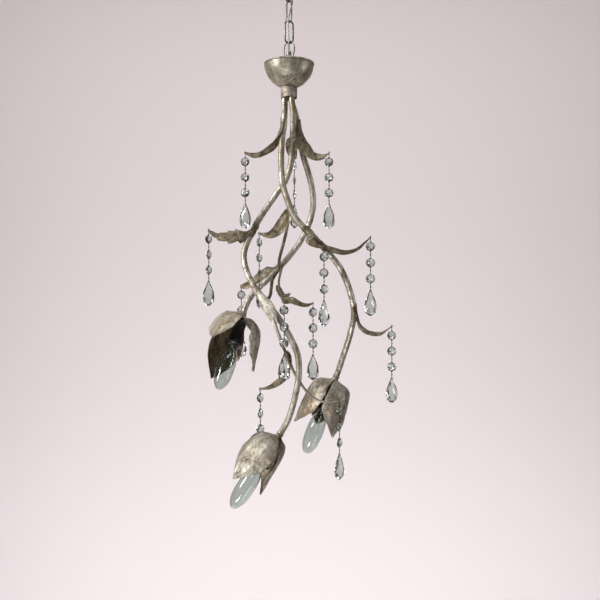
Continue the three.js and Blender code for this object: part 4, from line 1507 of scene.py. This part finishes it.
@dataclass
class Flower:
    """Three petals round a lampholder and its candle bulb, at the end of an arm."""

    finishes: Palette
    arm: Arm
    petals: list[Petal]
    holder_radius: float = 12.5
    holder_length: float = 67.0
    bore: float = 7.7
    depth: float = 25.0
    flutes: int = 24
    ring_radius: float = 18.0
    cap_radius: float = 6.8
    cap_length: float = 24.0
    bulb_radius: float = 18.0
    bulb_length: float = 96.0
    bulb_wall: float = 0.8
    neck: float = 7.6

    @property
    def cap_foot(self) -> float:
        """The height of the bulb cap's foot, a millimetre off the floor of the holder's bore."""
        return self.holder_length - self.depth + 1

    @property
    def cap_top(self) -> float:
        """The height of the bulb cap's top."""
        return self.cap_foot + self.cap_length

    def holder(self) -> Shell:
        """The lampholder: a shank, a plain band, a fluted sleeve, a ring near the mouth and a blind bore.

        Returns:
            Its surface in the flower's frame.
        """
        r, mouth, wide = self.holder_radius, self.holder_length, self.ring_radius
        band = [
            [0, 0.3], [4.8, 0.3], [4.8, 6], [0.75 * r, 7.5],
            [r - 0.4, 10.6], [r, 11.4], [r, 20], [r - 0.8, 21],
        ]
        ring = [
            [wide - 0.8, mouth - 8], [wide, mouth - 7.3], [wide, mouth - 4.7], [wide - 0.8, mouth - 4],
            [r, mouth - 3.4], [r, mouth - 0.6],
            [r - 0.6, mouth], [self.bore + 0.5, mouth], [self.bore, mouth - 0.5],
        ]
        bore = thread(mouth - self.depth, mouth - 3, self.bore, 0.0, 2.8)[::-1]
        sleeve = np.stack([np.full(8, r), np.linspace(22, mouth - 9.5, 8)], axis=1).tolist()
        shell = turned(band + sleeve + ring + bore + [[0, mouth - self.depth]], 144)
        x, y, z = shell.points.T
        fluted = (np.hypot(x, y) > (r - 0.1) * MM) & (z > 21.5 * MM) & (z < (mouth - 9) * MM)
        depth = 1 - 0.035 * (1 + np.cos(self.flutes * np.arctan2(y, x))) * fluted
        shell.points[:, :2] *= depth[:, None]
        return shell

    def cap(self) -> Shell:
        """The bulb's screw cap, with its rounded thread and its foot contact.

        Returns:
            Its surface in the flower's frame.
        """
        low, top, wide = self.cap_foot, self.cap_top, self.cap_radius
        contact = [[0, low], [2.2, low], [3.0, low + 0.6], [3.5, low + 1.4], [6.2, low + 3.0]]
        screw = thread(low + 3.4, low + 17, wide, 0.75, 2.82)
        collar = [[wide - 0.25, low + 17.5], [wide - 0.2, top - 2], [wide, top], [0, top]]
        return turned(contact + screw + collar, 48)

    def envelope(self) -> Shell:
        """The candle-shaped glass, open at its neck.

        Returns:
            Its surface in the flower's frame.
        """
        low = self.cap_top + 0.3
        neck, radius, long, wall = self.neck, self.bulb_radius, self.bulb_length, self.bulb_wall
        share = np.array([[0, 0], [0.3, 0.08], [0.72, 0.2], [0.95, 0.34], [1, 0.48]])
        flank = np.stack([neck + (radius - neck) * share[:, 0], low + share[:, 1] * long], axis=1)
        nose = np.array([[0.97, 0.64], [0.86, 0.78], [0.62, 0.9], [0.3, 0.975], [0, 1]])
        outer = spline(np.vstack([flank, nose * [radius, long] + [0, low]]), 90)
        outer[:, 0] = np.maximum(outer[:, 0], 0)
        slope = unit(np.gradient(outer, axis=0))
        inner = outer + wall * np.stack([-slope[:, 1], slope[:, 0]], axis=1)
        inner[:, 0] = np.maximum(inner[:, 0], 0.0)
        inner[0, 1] = outer[0, 1]
        start = [[0, low - 9]]
        skin = turned(np.vstack([start, outer[:-1], [[0, low + long]]]), GLASS_SIDES)
        lining = turned(np.vstack([start, inner[:-1], [[0, low + long - wall]]]), GLASS_SIDES)
        return self.lipped(skin, lining)

    @staticmethod
    def lipped(skin: Shell, lining: Shell) -> Shell:
        """Joins an outer and an inner turned skin at their open neck.

        Args:
            skin: the outer shell, whose first pole is dropped.
            lining: the inner shell with as many points.

        Returns:
            One closed wall.
        """
        count = len(skin.points)
        first = np.arange(GLASS_SIDES)
        step = (first + 1) % GLASS_SIDES
        shells = []
        for shell, flip in ((skin, 1), (lining, -1)):
            keep = shell.tris[(shell.tris != count - 2).all(axis=1)]
            shells.append(Shell(shell.points, shell.quads[:, ::flip], keep[:, ::flip]))
        both = together(shells)
        lip = np.stack([first, step, step + count, first + count], axis=1)
        return pruned(Shell(both.points, np.vstack([both.quads, lip]), both.tris))

    def filament(self) -> Shell:
        """The wires on the glass mount: two leads, and a bow of coiled filament between them.

        Returns:
            Their surfaces in the flower's frame.
        """
        low = self.cap_top
        lead = [[3.2, 0, low - 0.5], [2.2, 0, low + 14], [4.6, 0, low + 34], [7.0, 0, low + 44]]
        right = spline(np.array(lead) * MM, 60)
        turn = np.linspace(0, 2 * np.pi * 46, 1300)
        along = turn / turn[-1]
        rise = np.sin(np.pi * along)
        bow = np.stack([7.0 * np.cos(np.pi * along), 3.4 * rise, low + 44 + 5.5 * rise], axis=1)
        coil = bow + 0.42 * np.stack([0 * turn, np.cos(turn), np.sin(turn)], axis=1)
        leads = [swept(right * [side, 1, 1], 0.28, 8) for side in (1, -1)]
        return together([*leads, swept(coil * MM, 0.12, 5, UP + 0.3 * BACK)])

    def mount(self) -> Shell:
        """The glass stem that holds the lead wires.

        Returns:
            Its surface in the flower's frame.
        """
        profile = [[0, 0], [5.6, 0], [3.6, 3], [2.6, 10], [2.3, 18], [1.2, 20], [0, 20.6]]
        return turned(np.array(profile) + [0, self.cap_top + 0.2], 32)

    def build(self) -> None:
        """Builds the flower's pieces."""
        f, label = self.finishes, self.arm.label
        turn, origin = basis(self.arm.axis), self.arm.line[-1]
        for n, petal in enumerate(self.petals):
            # Each flower's back petal takes the copy of the petal finish that carries painted shade and
            # painted fill light.
            finish, slot = (f.petal, "silver_leaf") if n != 1 else (f.shaded_petal, "aged_leaf")
            shell = petal.surface().placed(turn, origin)
            piece(f"petal_{label}_{n + 1}", shell, finish, "lamp", [f"flower_{label}_petal_{n + 1}"], slot)
        glow = f"bulb_{label}"
        holder = self.holder().placed(turn, origin)
        holds, caps = [f"flower_{label}_lampholder"], [f"flower_{label}_bulb_cap"]
        piece(f"holder_{label}", holder, f.phenolic, "lamp", holds, "black_phenolic")
        piece(f"cap_{label}", self.cap().placed(turn, origin), f.nickel, glow, caps, "steel")
        glass = self.envelope().placed(turn, origin)
        piece(f"glass_{label}", glass, f.bulb, glow, [f"flower_{label}_bulb_glass"], "clear_glass")
        piece(f"mount_{label}", self.mount().placed(turn, origin), f.bulb, glow, [], "clear_glass")
        piece(f"filament_{label}", self.filament().placed(turn, origin), f.tungsten, glow, [], "steel")


def pruned(shell: Shell) -> Shell:
    """The shell without points that no face uses.

    Args:
        shell: the shell.

    Returns:
        The same faces on fewer points.
    """
    used, flat = np.unique(np.concatenate([shell.quads.ravel(), shell.tris.ravel()]), return_inverse=True)
    quads = flat[: shell.quads.size].reshape(-1, 4)
    tris = flat[shell.quads.size :].reshape(-1, 3)
    return Shell(shell.points[used], quads, tris)


# ---------------------------------------------------------------------------------------------
# Crystal strands
# ---------------------------------------------------------------------------------------------


@dataclass
class Strand:
    """Three octagon beads and a pear drop under a ring on a leaf's tip."""

    finishes: Palette
    node: str
    facing: float
    bead: float = 8.6
    first: float = 18.0
    pitch: float = 31.0
    drop_radius: float = 12.8
    drop_length: float = 50.0
    flatness: float = 0.45
    bead_twist: float = 0.0
    ring_radius: float = 4.0
    ring_sag: float = 0.9
    ring_wire: float = 0.55
    pin_wire: float = 0.68
    knot: float = 0.85
    eye: tuple[float, float] = (1.5, 1.9)
    eye_wire: float = 0.58
    drop_gap: float = 13.0
    hole_inset: float = 1.0

    @staticmethod
    def cut(rings: list[Array]) -> Shell:
        """A cut stone: rings of points joined by triangles, each end closed by a flat table.

        Args:
            rings: from one end to the other, each (n, 3) points in millimetres.

        Returns:
            The stone in metres.
        """
        n = len(rings[0])
        around = np.arange(n)
        step = (around + 1) % n
        points = np.vstack([*rings, rings[0].mean(axis=0), rings[-1].mean(axis=0)]) * MM
        faces = []
        for k in range(len(rings) - 1):
            a, b = k * n, (k + 1) * n
            faces.append(np.stack([around + a, step + a, around + b], axis=1))
            faces.append(np.stack([step + a, step + b, around + b], axis=1))
        last = (len(rings) - 1) * n
        faces.append(np.stack([step, around, np.full(n, len(rings) * n)], axis=1))
        faces.append(np.stack([around + last, step + last, np.full(n, len(rings) * n + 1)], axis=1))
        return Shell(points, tris=np.vstack(faces)).outward()

    def octagon(self, height: float) -> Shell:
        """A bead: an octagon girdle, with a table about a third as wide in front and a near point behind."""
        half_side = math.pi / 8
        corner = self.bead / math.cos(half_side)
        deep = self.flatness * self.bead
        # Each level's width and depth as shares of the girdle's, and how many half sides it is turned.
        levels = ((0.36, -1.0, 2), (0.74, -0.72, 1), (1.0, -0.08, 2), (1.0, 0.08, 2), (0.12, 1.0, 1))
        rings = []
        for share, back, turned_by in levels:
            angle = np.arange(8) * math.pi / 4 + turned_by * half_side
            x, z = share * corner * np.cos(angle), share * corner * np.sin(angle)
            rings.append(np.stack([x, np.full(8, back * deep), z + height], axis=1))
        return self.cut(rings)

    def pear(self, top: float) -> Shell:
        """The drop: rows of eight corners round a flattened pear, every other row turned half a side."""
        shares = [[0.09, 0], [0.24, 0.06], [0.64, 0.32], [0.98, 0.6], [0.95, 0.76], [0.62, 0.92], [0.12, 1.0]]
        outline = spline(np.array(shares), 200)
        down = np.array([0.0, 0.16, 0.44, 0.68, 0.87, 1.0])
        width = np.interp(down, outline[:, 1], outline[:, 0]) * self.drop_radius
        angle = np.arange(8) * math.pi / 4
        rings = []
        for k, (share, wide) in enumerate(zip(down, width)):
            turn = angle + (math.pi / 8 if k % 2 else 0.0)
            level = np.full(8, top - share * self.drop_length)
            rings.append(np.stack([wide * np.cos(turn), self.flatness * wide * np.sin(turn), level], axis=1))
        return self.cut(rings)

    def wires(self, tip_turn: float, drop_top: float) -> Shell:
        """The ring on the tip, a pin down to the first stone, and a knotted pin between each two stones.

        Args:
            tip_turn: how far the ring is turned about Z, in degrees.
            drop_top: the height of the drop's top, in millimetres.

        Returns:
            The wires in metres, each pin with an eye at each stone's hole.
        """
        circle = np.linspace(0, 2 * np.pi, 32, endpoint=False)
        r, inset = self.ring_radius, self.hole_inset
        ring = np.stack([0 * circle, r * np.cos(circle), r * np.sin(circle) - self.ring_sag], axis=1) * MM
        loop = swept(ring, self.ring_wire, 8, np.array([1.0, 0, 0]), True)
        parts = [loop.placed(about_z(tip_turn), np.zeros(3))]
        beads = [-self.first - n * self.pitch for n in range(3)]
        heights = [-(r + self.ring_sag), *beads, drop_top - 1.5]
        for n, (high, low) in enumerate(zip(heights, heights[1:])):
            start = high if n == 0 else high - self.bead + inset
            end = low + (self.bead - inset if n < 3 else 0)
            rod = np.array([[0, 0, start], [0.3, 0, (start + end) / 2], [0, 0, end]])
            girth = self.pin_wire + self.knot * np.exp(-((np.linspace(-1, 1, 25) / 0.16) ** 2)) * (n > 0)
            parts.append(swept(spline(rod * MM, 25), girth, 10))
            for height in (start - 0.3, end + 0.3) if n else (end + 0.3,):
                wide, tall = self.eye
                eye = np.stack([wide * np.cos(circle), 0 * circle, tall * np.sin(circle) + height], axis=1)
                parts.append(swept(eye * MM, self.eye_wire, 8, BACK, True))
        return together(parts)

    def build(self) -> None:
        """Builds the strand's stones and wires at its joint."""
        joint = joint_named(self.node.replace("strand_", "") + "_swing")
        origin = np.array(joint["pos_m"])
        tip_turn = math.degrees(math.atan2(joint["axis"][1], joint["axis"][0])) - self.facing
        drop_top = -self.first - 2 * self.pitch - self.bead - self.drop_gap
        rng = np.random.default_rng(sum(map(ord, self.node)))
        twist = rng.uniform(-24, 24, 4) + np.array([self.bead_twist] * 3 + [0.0])
        stones = [self.octagon(-self.first - n * self.pitch) for n in range(3)] + [self.pear(drop_top)]
        stones = [stone.placed(about_z(angle), np.zeros(3)) for stone, angle in zip(stones, twist)]
        turn = about_z(self.facing)
        crystal = together(stones).placed(turn, origin)
        wire = self.wires(tip_turn, drop_top).placed(turn, origin)
        f, node = self.finishes, self.node
        piece(f"{node}_stones", crystal, f.crystal, node, [node], "clear_glass", Shading.FACETED)
        piece(f"{node}_wires", wire, f.dark_pin, node, [node], "steel")


# ---------------------------------------------------------------------------------------------
# Studio
# ---------------------------------------------------------------------------------------------


@dataclass
class Studio:
    """A pale sweep of paper, painted darker towards the top as painted shade, soft light from both sides, and
    a level camera.
    """

    eye_m: tuple[float, float, float] = (0.022, -1.52, -0.71)
    lens_mm: float = 45.6
    floor_m: float = -3.3
    wall_m: float = 3.6
    curve_m: float = 0.5
    half_m: float = 2.4
    near_m: float = -1.0
    top_m: float = 1.9
    shade_m: tuple[float, float] = (-2.7, 1.3)
    pale: str = "EFE7E9"
    middle: str = "E4DBDD"
    # The darkest paper colour, at the top of the wall: painted shade.
    dusky: str = "CFC5C6"

    def sweep(self) -> None:
        """Builds the backdrop: a floor that curves up into a wall along a quarter circle, its colour painted
        darker with height as a painted shade gradient.
        """
        angle = np.linspace(0, np.pi / 2, 24)
        bend = self.curve_m
        away = self.wall_m - bend + bend * np.sin(angle)
        arc = np.stack([away, self.floor_m + bend * (1 - np.cos(angle))], axis=1)
        profile = np.vstack([[[self.near_m, self.floor_m]], arc, [[self.wall_m, self.top_m]]])
        across = np.array([-self.half_m, self.half_m])
        away, up = np.repeat(profile[:, :1], 2, 1), np.repeat(profile[:, 1:], 2, 1)
        points = np.stack([np.repeat(across[None], len(profile), 0), away, up], axis=-1)
        mesh = bpy.data.meshes.new("paper_sweep")
        mesh.from_pydata(points.reshape(-1, 3).tolist(), [], grid_quads(len(profile), 2).tolist())
        mesh.polygons.foreach_set("use_smooth", np.full(len(mesh.polygons), True))
        material, tree, shader = blank_material("matt background paper")
        place = add_node(tree, "ShaderNodeTexCoord").outputs["Object"]
        height = add_node(tree, "ShaderNodeSeparateXYZ", Vector=place).outputs["Z"]
        # Painted shade: the paper's colour runs from pale low down to darker up the wall, standing in for
        # light falling off with height.
        low, high = self.shade_m
        share = add_node(
            tree, "ShaderNodeMapRange", Value=height, From_Min=low, From_Max=high
        ).outputs[0]
        colour = ramp(tree, share, [(0.0, self.pale), (0.5, self.middle), (1.0, self.dusky)])
        tree.links.new(colour.outputs[0], shader.inputs["Base Color"])
        shader.inputs["Roughness"].default_value = 0.95
        mesh.materials.append(material)
        paper = bpy.data.objects.new("paper_sweep", mesh)
        bpy.context.scene.collection.objects.link(paper)

    def light(
        self,
        name: str,
        place: tuple[float, float, float],
        aim: tuple[float, float, float],
        size: tuple[float, float],
        power: float,
        tint: str = "FFFFFF",
    ) -> None:
        """Adds one soft light that faces a point.

        Args:
            name: its name.
            place: where it is, in metres.
            aim: what it faces.
            size: its width and height in metres.
            power: its power in watts.
            tint: its colour.
        """
        lamp = bpy.data.lights.new(name, "AREA")
        lamp.shape = "RECTANGLE"
        lamp.size, lamp.size_y = size
        lamp.energy = power
        lamp.color = linear(tint)[:3]
        thing = bpy.data.objects.new(name, lamp)
        thing.location = place
        thing.rotation_euler = (Vector(aim) - Vector(place)).to_track_quat("-Z", "Y").to_euler()
        bpy.context.scene.collection.objects.link(thing)

    def camera(self) -> None:
        """Adds the camera, level and square to the lamp."""
        camera = bpy.data.cameras.new("camera")
        camera.lens, camera.sensor_width = self.lens_mm, 36.0
        thing = bpy.data.objects.new("camera", camera)
        thing.location = self.eye_m
        thing.rotation_euler = (math.pi / 2, 0, 0)
        bpy.context.scene.collection.objects.link(thing)
        bpy.context.scene.camera = thing

    def build(self) -> None:
        """Builds the camera, the sweep, the lights and the surroundings."""
        self.camera()
        self.sweep()
        scene = bpy.context.scene
        scene.view_settings.view_transform = "Standard"
        # Each light's name, place, aim, size and power; the last two wash the wall.
        lamps = (
            ("key_left", (-1.9, -0.95, 0.25), (0, 0, -0.6), (0.7, 1.5), 62),
            ("fill_right", (1.9, -0.5, -0.5), (0, 0, -0.7), (0.3, 1.3), 7),
            ("top", (0.1, -0.2, 0.7), (0, 0, -0.6), (1.0, 0.8), 9),
            ("low_front", (-0.7, -1.5, -2.0), (0, 0, -0.8), (0.9, 0.6), 19),
            ("paper_low", (0.0, 1.2, -3.2), (0, self.wall_m, -1.2), (6.6, 0.5), 90, "FFFDFD"),
            ("paper_high", (0.0, 1.4, 1.7), (0, self.wall_m, 0.2), (6.6, 0.5), 71, "FFFDFD"),
        )
        for lamp in lamps:
            self.light(*lamp)
        world = bpy.data.worlds.new("dim studio")
        scene.world = world
        world.use_nodes = True
        background = world.node_tree.nodes["Background"]
        background.inputs["Color"].default_value = linear("9C9A98")
        background.inputs["Strength"].default_value = 0.25


def main() -> None:
    """Builds the pendant from the ceiling down, then the studio."""
    finishes = Palette()
    Studio().build()
    CeilingFitting(finishes).build()
    Chain(finishes).build()
    Canopy(finishes).build()
    arms = Arms(finishes)
    arms.build()
    Foliage(finishes, arms).build()
    flowers = {
        "a": [Petal(45, seed=1), Petal(272, 0.88, seed=2), Petal(160, seed=3)],
        "b": [Petal(129, seed=4), Petal(243, 0.95, seed=5), Petal(348, 0.6, 1.08, seed=6)],
        "c": [Petal(5, 1.1, 1.02, seed=7), Petal(240, 1.0, 1.2, seed=8), Petal(134, 1.24, 0.75, seed=9)],
    }
    for label, petals in flowers.items():
        Flower(finishes, arms.arms[label], petals).build()
    # Each strand's drop faces this many degrees round from the front, and its beads turn further.
    facings = {
        "top_left": (0, 0), "top_right": (8, 0), "top_back": (25, 55), "serrated_leaf": (0, 50),
        "inner_stem": (70, 0), "rear_leaf": (15, 0),
        "branch_front": (-10, 0), "branch_right": (5, 0), "right_tendril": (-6, 0),
        "small_bract": (10, 0), "right_leaf": (0, 0), "lower_leaf": (12, 35), "low_tendril": (15, 55),
    }
    for name, (facing, bead_twist) in facings.items():
        Strand(finishes, f"strand_{name}", facing, bead_twist=bead_twist).build()


if __name__ == "__main__":
    main()
